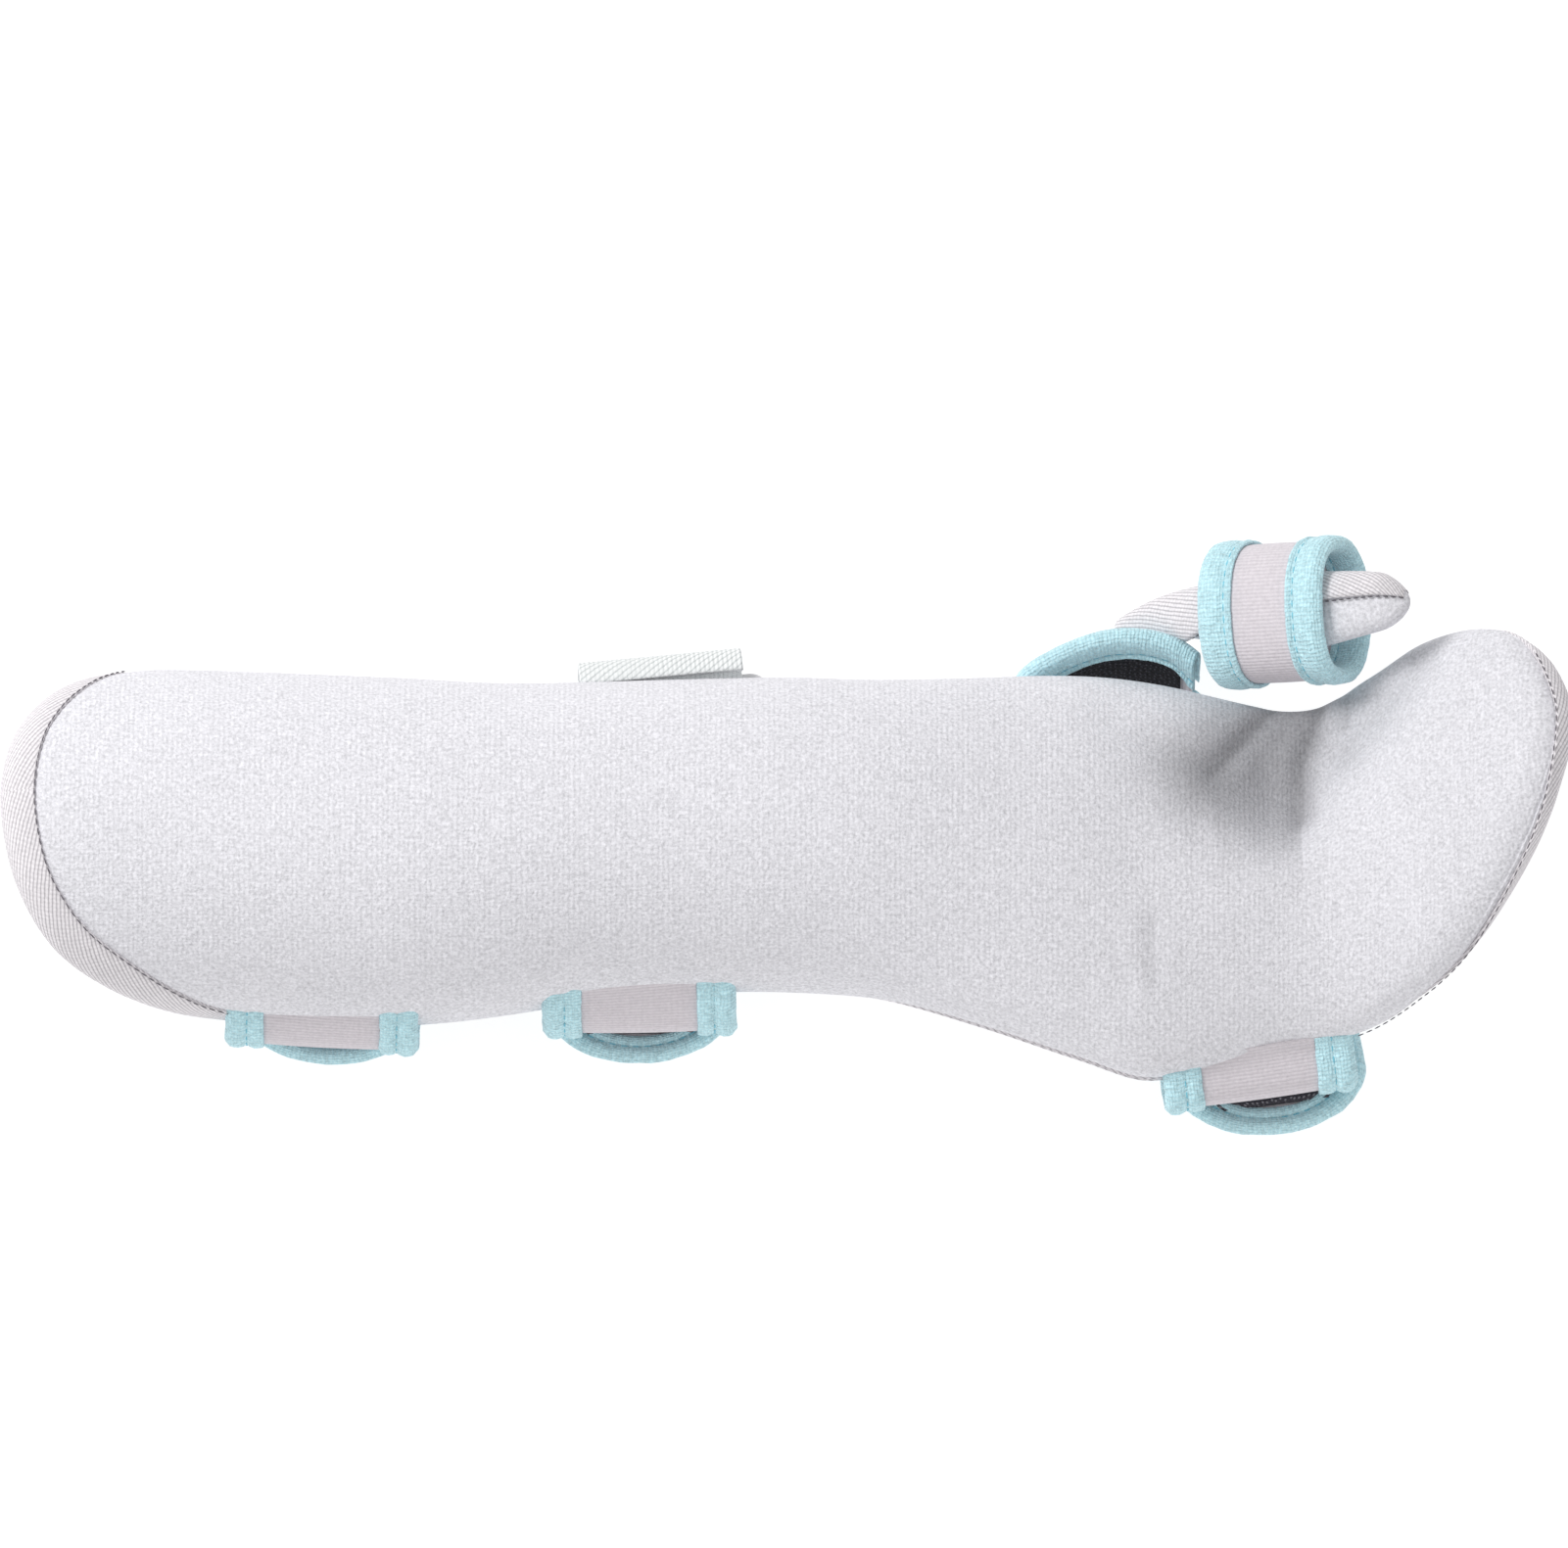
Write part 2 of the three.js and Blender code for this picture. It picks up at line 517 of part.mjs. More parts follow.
// Flat ring with rounded corners, lying between the two strap layers
function buildRing(name, plan, outerBar, sideways) {
  const outlineShape = (shape, width, length, corner) => {
    const x = width / 2 - corner;
    const y = length / 2 - corner;
    shape.absarc(x, y, corner, 0, Math.PI / 2);
    shape.absarc(-x, y, corner, Math.PI / 2, Math.PI);
    shape.absarc(-x, -y, corner, Math.PI, 1.5 * Math.PI);
    shape.absarc(x, -y, corner, 1.5 * Math.PI, 2 * Math.PI);
    return shape;
  };
  const shape = outlineShape(new THREE.Shape(), ringWidth, ringLength, 5);
  shape.holes.push(outlineShape(new THREE.Path(), ringWidth - 2 * ringBar, ringLength - 2 * ringBar, 1.5));
  const ring = new THREE.ExtrudeGeometry(shape, { depth: ringThickness, bevelEnabled: false, curveSegments: 3 });
  const mesh = piece(name, ring, whitePlastic);
  const middle = outerBar - ringLength / 2 + ringBar / 2;
  mesh.position.copy(plan.origin).addScaledVector(plan.along, middle).addScaledVector(plan.across, sideways);
  mesh.position.z = (lowerLayerHeight + upperLayerHeight - ringThickness) / 2;
  mesh.rotation.z = Math.atan2(plan.across.y, plan.across.x);
  return mesh;
}

// Webbing loop outside the thumb side wall, folded round the ring's outer bar
function buildOuterLoop(loop) {
  const plan = planFrame(loop.x, loop.turn);
  const wall = wallReach(plan, loop.width, 1);
  const bar = wall + loop.ringShift;
  const barHeight = (lowerLayerHeight + upperLayerHeight) / 2;
  const wrap = ringThickness / 2 + pieceGap + webbingThickness / 2;
  const near = wall + tapeThickness + webbingThickness / 2;
  const far = near + webbingThickness + loopBulge;
  const path = new THREE.Path();
  path.moveTo(near + 0.4, loop.top);
  path.bezierCurveTo(near + 1 + loopBulge, loop.top - 1, far, loop.top - 6, far, loop.top - 12);
  path.bezierCurveTo(far, barHeight + 6, bar + 7, barHeight - wrap, bar + 3, barHeight - wrap);
  path.lineTo(bar - 2, barHeight - wrap);
  path.absarc(bar - 2, barHeight, wrap, -Math.PI / 2, -1.5 * Math.PI, true);
  path.bezierCurveTo(bar + 1, barHeight + wrap, near, barHeight + 4, near, barHeight + 12);
  path.lineTo(near, barHeight + 15);
  const frames = stripFrames(lift(plan, path, 4), plan.across);
  return {
    plan,
    bar,
    mesh: buildStripWeb(`${loop.name}_ring_loop`, frames, plan.across, loop.width, webbingThickness, 0, ribbedWebbing),
  };
}

// Webbing loop hung inside the thumb side wall
function buildInnerLoop(loop) {
  const plan = planFrame(loop.x, loop.turn);
  const wall = wallReach(plan, loop.width, 1);
  const bar = wall + loop.ringShift;
  const barHeight = (lowerLayerHeight + upperLayerHeight) / 2;
  const wrap = ringThickness / 2 + pieceGap + webbingThickness / 2;
  const near = wall - loop.inside;
  const path = new THREE.Path();
  path.moveTo(near, loop.top);
  path.lineTo(near, barHeight + 8);
  path.bezierCurveTo(near + 2, barHeight + 4, bar + 6, barHeight - wrap, bar + 3, barHeight - wrap);
  path.lineTo(bar - 2, barHeight - wrap);
  path.absarc(bar - 2, barHeight, wrap, -Math.PI / 2, -1.5 * Math.PI, true);
  path.bezierCurveTo(bar, barHeight + wrap, near - 2.2, barHeight + 4, near - 2.2, barHeight + 9);
  path.lineTo(near - 2.2, loop.top - 2);
  const frames = stripFrames(lift(plan, path, 4), plan.across);
  return {
    plan,
    bar,
    mesh: buildStripWeb(`${loop.name}_ring_loop`, frames, plan.across, loop.width, webbingThickness, 0, ribbedWebbing),
  };
}

// Thumb stay directions: along its path, up the page and towards the viewer of its outer face
const viewTilt = radians(75);
const viewUp = vector(0, Math.sin(viewTilt), Math.cos(viewTilt));
const thumbCurve = new THREE.CatmullRomCurve3(thumbStations.map((row) => vector(row.x, row.y, row.z)));
const roundPower = (value, fullness) => Math.sign(value) * Math.abs(value) ** (2 / fullness);

function thumbFrame(share) {
  const along = thumbCurve.getTangent(share);
  const front = along.clone().cross(viewUp).normalize();
  const up = front.clone().cross(along).normalize();
  const point = thumbCurve.getPoint(share);
  return { point, along, up, front };
}

function thumbSize(share) {
  const x = thumbFrame(share).point.x;
  const swell = Math.sqrt(1 - Math.max((share - 0.86) / 0.14, 0) ** 2);
  const base = Math.sqrt(1 - Math.max((0.05 - share) / 0.05, 0) ** 2);
  const part = Math.min(swell, base);
  return { height: columnAt(thumbStations, "height", x) * part, depth: columnAt(thumbStations, "depth", x) * part };
}

// Point round the thumb stay's section, the angle counted from its upper side towards the front
function thumbPoint(share, angle, clear) {
  const frame = thumbFrame(share);
  const size = thumbSize(share);
  const rise = roundPower(Math.cos(angle), 2.5) * (size.height + clear);
  const reach = roundPower(Math.sin(angle), 2.5) * (size.depth + clear);
  return frame.point.addScaledVector(frame.up, rise).addScaledVector(frame.front, reach);
}

const thumbShares = [0, 0.01, 0.05, 0.12, 0.2, 0.3, 0.4, 0.5, 0.6, 0.7, 0.8, 0.86, 0.92, 0.96, 0.985, 1];

function buildThumbPad() {
  const around = 18;
  const rings = thumbShares.map((share) => {
    const ring = [];
    for (let k = 0; k < around; k += 1) ring.push(thumbPoint(share, (k / around) * 2 * Math.PI, 0));
    return ring;
  });
  return piece("thumb_pad", loftSolid(rings, { capStart: false, capEnd: false }), knitFabric);
}

// Twill gusset over the thumb stay's upper side; its front seam climbs towards the tip
function buildThumbBinding() {
  const steps = 8;
  const rings = thumbShares.slice(2, -3).map((share) => {
    const seam = radians(THREE.MathUtils.lerp(112, 52, Math.min(share / 0.6, 1)));
    const back = radians(-55);
    const row = (clear) => {
      const points = [];
      for (let k = 0; k <= steps; k += 1) {
        points.push(thumbPoint(share, THREE.MathUtils.lerp(back, seam, k / steps), clear));
      }
      return points;
    };
    return [...row(pieceGap + 0.9), ...row(pieceGap).reverse()];
  });
  return piece("thumb_binding", loftSolid(rings), twillTape);
}

// Band round the thumb stay with a bound edge on either side
function buildThumbBand() {
  const axis = vector(0.889, -0.073, 0.452).normalize();
  const front = axis.clone().cross(viewUp).normalize();
  const up = front.clone().cross(axis).normalize();
  const centre = vector(thumbBand.x, thumbBand.y, thumbBand.z);
  const around = 26;
  const loopPoint = (turn) => centre.clone()
    .addScaledVector(up, roundPower(Math.cos(turn), thumbBand.fullness) * thumbBand.up)
    .addScaledVector(front, roundPower(Math.sin(turn), thumbBand.fullness) * thumbBand.front);
  const stations = [];
  for (let k = 0; k < around; k += 1) {
    const turn = ((k + 0.5) / around) * 2 * Math.PI;
    const along = loopPoint(turn + 0.02).sub(loopPoint(turn - 0.02)).normalize();
    stations.push({ point: loopPoint(turn), normal: along.cross(axis).normalize() });
  }
  const webHalf = thumbBandWidth / 2 - bindingGap - bindingThickness;
  const web = stations.map(({ point, normal }) => {
    const corner = (side, face) => point.clone()
      .addScaledVector(axis, side * webHalf)
      .addScaledVector(normal, (face * thumbBandWeb) / 2);
    return [corner(-1, 1), corner(1, 1), corner(1, -1), corner(-1, -1)];
  });
  const profile = bindingProfile(thumbBandWeb, bindingReach);
  const edge = (side) => stations.map(({ point, normal }) => bindingRing(
    profile,
    point.clone().addScaledVector(axis, side * webHalf),
    axis.clone().multiplyScalar(side),
    normal,
  ));
  return [
    piece("thumb_strap", loftSolid(web, { closed: true }), strapFabric),
    piece("thumb_strap_edge_inner", loftSolid(edge(-1), { closed: true }), blueBinding),
    piece("thumb_strap_edge_outer", loftSolid(edge(1), { closed: true }), blueBinding),
  ];
}

// Arched tab on the thumb side wall, hook faced inside
function buildThumbTab() {
  const across = vector(0, Math.sin(radians(tabLean)), Math.cos(radians(tabLean)));
  const curve = new THREE.CatmullRomCurve3(tabStations.map((row) => vector(row.x, row.y, row.z)));
  const frames = stripFrames(curve.getPoints(10), across);
  const hookFrames = frames.slice(1, 5).map((frame) => {
    const inward = frame.normal.y > 0 ? -1 : 1;
    const clear = strapWeb / 2 + bindingGap + hookThickness / 2;
    return { ...frame, point: frame.point.clone().addScaledVector(frame.normal, inward * clear) };
  });
  const bound = { width: tabWidth, web: strapWeb, tip: tabTip, start: 1, reach: tabBindingReach };
  const hookWidth = tabWidth - 2 * tabBindingReach - 1;
  return [
    buildStripWeb("thumb_tab", frames, across, tabWidth, strapWeb, tabTip, strapFabric),
    buildStripBinding("thumb_tab_binding", frames, across, bound, blueBinding),
    buildStripWeb("thumb_tab_hook", hookFrames, across, hookWidth, hookThickness, 0, blackHook),
  ];
}

const brace = new THREE.Group();
brace.name = "wrist_fracture_brace";
brace.add(buildShellPad(), buildShellBinding());
straps.forEach((strap, i) => {
  const loop = loops[i].inside ? buildInnerLoop(loops[i]) : buildOuterLoop(loops[i]);
  brace.add(loop.mesh, buildRing(`${strap.name}_ring`, loop.plan, loop.bar, loops[i].ringSide));
  brace.add(...buildStrap(strap, loop.plan, loop.bar - ringLength + ringBar));
});
brace.add(buildThumbPad(), buildThumbBinding(), ...buildThumbBand(), ...buildThumbTab());

// The origin lies under the middle of the brace, on the surface it rests on
brace.updateMatrixWorld(true);
const extent = new THREE.Box3().setFromObject(brace, true);
const centre = extent.getCenter(vector(0, 0, 0));
brace.position.set(-centre.x, -centre.y, -extent.min.z);

export default brace;
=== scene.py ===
import math

import bmesh
import bpy
from mathutils import Matrix, Vector, kdtree, noise


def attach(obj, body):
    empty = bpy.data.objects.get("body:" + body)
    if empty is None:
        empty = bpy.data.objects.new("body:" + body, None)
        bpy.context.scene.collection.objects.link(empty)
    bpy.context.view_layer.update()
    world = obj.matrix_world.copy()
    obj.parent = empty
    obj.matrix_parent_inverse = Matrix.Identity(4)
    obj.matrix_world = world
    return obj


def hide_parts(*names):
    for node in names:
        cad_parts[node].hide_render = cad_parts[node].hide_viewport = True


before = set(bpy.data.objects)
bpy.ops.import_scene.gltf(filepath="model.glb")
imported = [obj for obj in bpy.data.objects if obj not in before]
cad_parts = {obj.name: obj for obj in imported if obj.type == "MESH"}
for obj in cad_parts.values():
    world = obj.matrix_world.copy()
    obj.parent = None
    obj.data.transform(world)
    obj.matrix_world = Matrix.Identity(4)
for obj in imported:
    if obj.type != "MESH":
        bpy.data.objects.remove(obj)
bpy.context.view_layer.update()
print("frame loaded with", len(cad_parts), "nodes")

mm = 0.001
armToFrame = Vector((-199.880, -45.711, 0))  # the arm's own millimetres start at the elbow end


def toFrame(point):
    return (point + armToFrame) * mm


def toArm(point):
    return point / mm - armToFrame


def lerp(a, b, t):
    return a + (b - a) * t


def ease(t):
    t = min(max(t, 0), 1)
    return t * t * (3 - 2 * t)


# outer face of the trough, a row for each place along the arm
sectionColumns = ("x", "crownY", "crownZ", "radialHalf", "ulnarHalf", "depth")
sectionRows = [
    (0, 42.6, 65, 45.2, 45.2, 45),
    (50, 42.6, 65, 45.2, 45.2, 45),
    (100, 40.7, 65, 45.2, 45.2, 45),
    (125, 40.9, 64, 43.5, 43.5, 43.5),
    (150, 43.0, 62.5, 41.7, 41.7, 42),
    (175, 44.3, 62, 41, 41, 41),
    (200, 44.6, 62, 41.2, 41.2, 41),
    (225, 43.3, 60.5, 42.1, 42.1, 40),
    (250, 40.1, 56, 46.3, 46.3, 36),
    (275, 36.4, 51, 51.2, 51.2, 33),
    (293, 33.2, 46.5, 53.3, 53.3, 30),
    (325, 33.4, 43, 46.8, 46.8, 27),
    (337, 34.6, 44, 46, 46, 26),
    (350, 37, 49, 50.2, 46, 25),
    (361.5, 40, 55, 53.8, 46, 24),
    (375, 42, 60.5, 55.6, 46, 22),
    (398.5, 44, 71, 55, 46, 20),
]
sections = [dict(zip(sectionColumns, row)) for row in sectionRows]

# rim of the trough: degrees from the crown on either side, the tape's reach over the outer face there
# and how far the knit rolls out over the tape
edgeColumns = ("x", "ulnar", "radial", "ulnarTape", "radialTape", "ulnarKnit", "radialKnit")
edgeRows = [
    (2, -4, 4, 6.5, 6.5, 0, 0),
    (4.2, 19.5, 24.5, 7, 6.5, 0, 0),
    (8.6, 37, 39, 8.5, 6.5, 0, 0),
    (15, 53, 53, 10.5, 6, 0, 0),
    (24, 67, 67, 12, 4.5, 0, 0.6),
    (36, 82, 83, 12, 2.5, 0, 1.6),
    (47, 92.5, 95, 11, 2, 0, 2),
    (60, 98, 100, 9, 2, 0, 2),
    (80, 100, 100, 5, 2, 1, 2),
    (110, 100, 100, 2.2, 2, 1.9, 2),
    (210, 97, 98, 2, 2, 1.4, 2),
    (235, 94, 96, 2, 2, 0.6, 2),
    (275, 90, 92, 2, 2, 0.6, 2),
    (293, 88, 90, 2, 2, 0.8, 2),
    (325, 88, 88, 2, 2, 1.4, 2),
    (340, 88, 88, 1.6, 2, 1.8, 2),
    (352, 83, 88, 1, 2, 1.9, 2),
    (361.5, 65, 87, 0.6, 1.6, 1.9, 2),
    (369, 51, 81, 0.5, 1, 1.9, 2),
    (377, 33.5, 72.5, 0.5, 0.8, 1.8, 1.9),
    (385.5, 13.5, 56.5, 0.5, 0.8, 1.6, 1.5),
    (390.8, -3, 43, 0.6, 0.8, 1.4, 0.8),
    (394, -15, 31, 0.8, 0.8, 1, 0.5),
    (395, -23, 23, 0.8, 0.8, 0.6, 0.6),
]
edges = [dict(zip(edgeColumns, row)) for row in edgeRows]

# broad folds of the palm: from, to, depth, breadth, share that shows inside
palmFolds = [
    ((327, 72), (325, 57), 17, 16, 0.3),
    ((322, 74.5), (309, 58.5), 3.5, 5, 0.1),
    ((335, 73), (331.3, 46), 4, 6, 0.1),
    ((360.5, 84), (342, 64), 4.5, 8, 0.3),
]


def columnAt(table, column, x):
    last = len(table) - 1
    if x <= table[0]["x"]:
        return table[0][column]
    if x >= table[last]["x"]:
        return table[last][column]
    i = 0
    while table[i + 1]["x"] < x:
        i += 1

    def slope(k):
        before, after = table[max(k - 1, 0)], table[min(k + 1, last)]
        return (after[column] - before[column]) / (after["x"] - before["x"])

    span = table[i + 1]["x"] - table[i]["x"]
    t = (x - table[i]["x"]) / span
    ends = (1 + 2 * t) * (1 - t) ** 2 * table[i][column] + t * t * (3 - 2 * t) * table[i + 1][column]
    return ends + t * (1 - t) ** 2 * span * slope(i) + t * t * (t - 1) * span * slope(i + 1)


def awayFromLine(x, y, start, end):
    runX, runY = end[0] - start[0], end[1] - start[1]
    share = ((x - start[0]) * runX + (y - start[1]) * runY) / (runX * runX + runY * runY)
    t = min(max(share, 0), 1)
    return math.hypot(x - start[0] - t * runX, y - start[1] - t * runY), share


def trough(x, angle, keep=1):
    half = columnAt(sections, "radialHalf" if angle > 0 else "ulnarHalf", x)
    y = columnAt(sections, "crownY", x) + half * math.sin(angle)
    drop = columnAt(sections, "depth", x) * (1 - math.cos(angle))
    sink = 0
    for start, end, depth, breadth, inside in palmFolds:
        away, _ = awayFromLine(x, y, start, end)
        deep = depth * lerp(inside, 1, keep)
        sink += deep * math.exp(-((away / breadth) ** 2)) * max(math.cos(angle), 0) ** 2
    return Vector((x, y, columnAt(sections, "crownZ", x) - drop - sink))


def troughFrame(x, angle, keep=1):
    step = 0.01
    alongX = (trough(x + 1, angle, keep) - trough(x - 1, angle, keep)) / 2
    alongAngle = (trough(x, angle + step, keep) - trough(x, angle - step, keep)) / (2 * step)
    return trough(x, angle, keep), alongX, alongAngle, alongX.cross(alongAngle).normalized()


def edgeAt(place):
    last = len(edges) - 1

    def row(i):
        if 0 <= i <= last:
            return edges[i]
        other = edges[-i if i < 0 else 2 * last - i]
        return {**other, "ulnar": -other["radial"], "radial": -other["ulnar"]}

    i = min(int(place), last - 1)
    t = place - i

    def blend(column):
        a, b, c, d = (row(k)[column] for k in (i - 1, i, i + 1, i + 2))
        curve = 2 * a - 5 * b + 4 * c - d + (3 * b - a - 3 * c + d) * t
        return b + 0.5 * t * (c - a + t * curve)

    ulnar = -math.radians(blend("ulnar")), blend("ulnarTape"), blend("ulnarKnit")
    radial = math.radians(blend("radial")), blend("radialTape"), blend("radialKnit")
    return blend("x"), ulnar, radial


# shader groups and finishes

def addNode(tree, kind, inputs=None, **settings):
    made = tree.nodes.new(kind)
    for key, value in settings.items():
        setattr(made, key, value)
    for key, value in (inputs or {}).items():
        if isinstance(value, bpy.types.NodeSocket):
            tree.links.new(value, made.inputs[key])
        else:
            made.inputs[key].default_value = value
    return made


def calc(tree, operation, *values):
    return addNode(tree, "ShaderNodeMath", dict(enumerate(values)), operation=operation).outputs[0]


def newGroup(name, inputs, output):
    tree = bpy.data.node_groups.new(name, "ShaderNodeTree")
    for label, kind, value in inputs:
        socket = tree.interface.new_socket(label, in_out="INPUT", socket_type=kind)
        if value is not None:
            socket.default_value = value
    tree.interface.new_socket(output, in_out="OUTPUT", socket_type="NodeSocketFloat")
    return tree, tree.nodes.new("NodeGroupInput").outputs, tree.nodes.new("NodeGroupOutput").inputs


def makeThreadLines():
    tree, given, result = newGroup("threadLines", [
        ("Cloth", "NodeSocketVector", None),
        ("Spacing", "NodeSocketFloat", 1.2),
        ("Turn", "NodeSocketFloat", 0.0),
        ("Waver", "NodeSocketFloat", 0.2),
        ("Narrow", "NodeSocketFloat", 1.0),
    ], "Lines")
    turned = addNode(tree, "ShaderNodeVectorRotate", {"Vector": given["Cloth"], "Angle": given["Turn"]},
                     rotation_type="Z_AXIS")
    apart = addNode(tree, "ShaderNodeSeparateXYZ", {0: turned.outputs[0]})
    drift = addNode(tree, "ShaderNodeTexNoise", {"Vector": given["Cloth"], "Scale": 0.5, "Detail": 1.0})
    sway = calc(tree, "MULTIPLY", calc(tree, "SUBTRACT", drift.outputs[0], 0.5), given["Waver"])
    turns = calc(tree, "DIVIDE", calc(tree, "ADD", apart.outputs["X"], sway), given["Spacing"])
    wave = calc(tree, "SINE", calc(tree, "MULTIPLY", turns, 2 * math.pi))
    raised = calc(tree, "MULTIPLY_ADD", wave, 0.499, 0.5)
    tree.links.new(calc(tree, "POWER", raised, given["Narrow"]), result[0])
    return tree


def makeFuzz():
    tree, given, result = newGroup("fabricFuzz", [
        ("Place", "NodeSocketVector", None),
        ("Size", "NodeSocketFloat", 1.0),
        ("Detail", "NodeSocketFloat", 2.0),
    ], "Fuzz")
    scale = calc(tree, "DIVIDE", 1000.0, given["Size"])
    grain = addNode(tree, "ShaderNodeTexNoise",
                    {"Vector": given["Place"], "Scale": scale, "Detail": given["Detail"], "Roughness": 0.65})
    centred = calc(tree, "SUBTRACT", grain.outputs[0], 0.5)
    tree.links.new(calc(tree, "MULTIPLY_ADD", centred, 1.8, 0.5), result[0])
    return tree


def makeHookDots():
    tree, given, result = newGroup("hookDots", [
        ("Cloth", "NodeSocketVector", None),
        ("Spacing", "NodeSocketFloat", 1.4),
        ("Radius", "NodeSocketFloat", 0.3),
    ], "Dots")
    scale = calc(tree, "DIVIDE", 1.0, given["Spacing"])
    cells = addNode(tree, "ShaderNodeTexVoronoi",
                    {"Vector": given["Cloth"], "Scale": scale, "Randomness": 0.45}, voronoi_dimensions="2D")
    near = calc(tree, "DIVIDE", calc(tree, "SUBTRACT", given["Radius"], cells.outputs["Distance"]), 0.15)
    clamped = addNode(tree, "ShaderNodeClamp", {0: near})
    tree.links.new(clamped.outputs[0], result[0])
    return tree


threadLines, fabricFuzz, hookDots = makeThreadLines(), makeFuzz(), makeHookDots()


def useGroup(tree, group, **inputs):
    return addNode(tree, "ShaderNodeGroup", inputs, node_tree=group).outputs[0]


def srgb(red, green, blue):
    def one(value):
        value /= 255
        return value / 12.92 if value <= 0.04045 else ((value + 0.055) / 1.055) ** 2.4
    return one(red), one(green), one(blue), 1.0


def hookFinish(base, dark, roughness, dots):
    return {"base": base, "dark": dark, "roughness": roughness, "sheen": 0.0,
            "lines": [(1.4, 90, 0.2, 1.0, 0.35, 0.2)],
            "fuzz": (0.7, 0.35, 0.5), "blotch": (9, 0.08), "bump": 0.0004, "dots": dots}


def threadFinish(base, dark, roughness):
    return {"base": base, "dark": dark, "roughness": roughness, "sheen": 0.1,
            "lines": [], "fuzz": (0.6, 0.4, 0.5), "blotch": (6, 0.1), "bump": 0.0001}


# lines are rows of spacing mm, turn in degrees, waver mm, narrowness, share of the dark colour, height
finishes = {
    "knitFabric": {
        "base": srgb(227, 226, 231), "dark": srgb(168, 167, 176), "roughness": 0.92, "sheen": 0.12,
        "lines": [(1.35, 0, 1.3, 1.2, 0.07, 0.35), (1.0, 90, 1.4, 1.0, 0.03, 0.2)],
        # the knit's colour is darkened by painted shade in the palm folds, read from a point attribute
        "fuzz": (0.85, 0.52, 0.7), "blotch": (34, 0.05), "bump": 0.00022, "tone": "paintedFoldShade",
    },
    "twillTape": {
        "base": srgb(238, 234, 237), "dark": srgb(116, 110, 118), "roughness": 0.85, "sheen": 0.1,
        "lines": [(1.0, 66, 0.3, 3.0, 0.54, -0.5), (1.1, -24, 0.3, 1.6, 0.12, 0.3)],
        "fuzz": (0.8, 0.3, 0.3), "blotch": (20, 0.06), "bump": 0.00014,
    },
    "strapFabric": {
        "base": srgb(222, 216, 221), "dark": srgb(164, 156, 164), "roughness": 0.95, "sheen": 0.15,
        "lines": [(0.95, 0, 0.3, 1.0, 0.22, 0.5), (1.5, 90, 0.5, 1.0, 0.06, 0.2)],
        "fuzz": (0.9, 0.2, 0.6), "blotch": (22, 0.05), "bump": 0.0002,
    },
    "blueBinding": {
        "base": srgb(206, 241, 248), "dark": srgb(122, 200, 222), "roughness": 0.95, "sheen": 0.3,
        "lines": [(1.0, 0, 0.9, 1.3, 0.16, 0.5), (0.9, 90, 0.9, 1.3, 0.12, 0.4)],
        "fuzz": (1.1, 0.46, 1.0), "blotch": (12, 0.08), "bump": 0.0004,
    },
    "ribbedWebbing": {
        "base": srgb(240, 242, 242), "dark": srgb(132, 142, 142), "roughness": 0.75, "sheen": 0.05,
        "lines": [(1.2, 90, 0.2, 2.2, 0.25, -0.5), (1.5, 38, 0.2, 4.0, 0.45, -0.3)],
        "fuzz": (0.8, 0.2, 0.2), "blotch": (18, 0.05), "bump": 0.00014,
    },
    "hookFabric": hookFinish(srgb(74, 72, 80), srgb(40, 38, 44), 0.7, (1.3, 0.34, srgb(150, 148, 156))),
    "blackHook": hookFinish(srgb(34, 33, 38), srgb(14, 14, 17), 0.8, (1.3, 0.3, srgb(74, 74, 82))),
    "darkThread": threadFinish(srgb(98, 93, 101), srgb(58, 54, 60), 0.8),
    "blueThread": threadFinish(srgb(132, 203, 222), srgb(80, 160, 185), 0.85),
    "whitePlastic": {
        "base": srgb(238, 238, 240), "dark": srgb(190, 190, 194), "roughness": 0.38, "sheen": 0.0,
        "lines": [], "fuzz": (1.6, 0.05, 0.15), "blotch": (14, 0.05), "bump": 0.00006,
    },
}


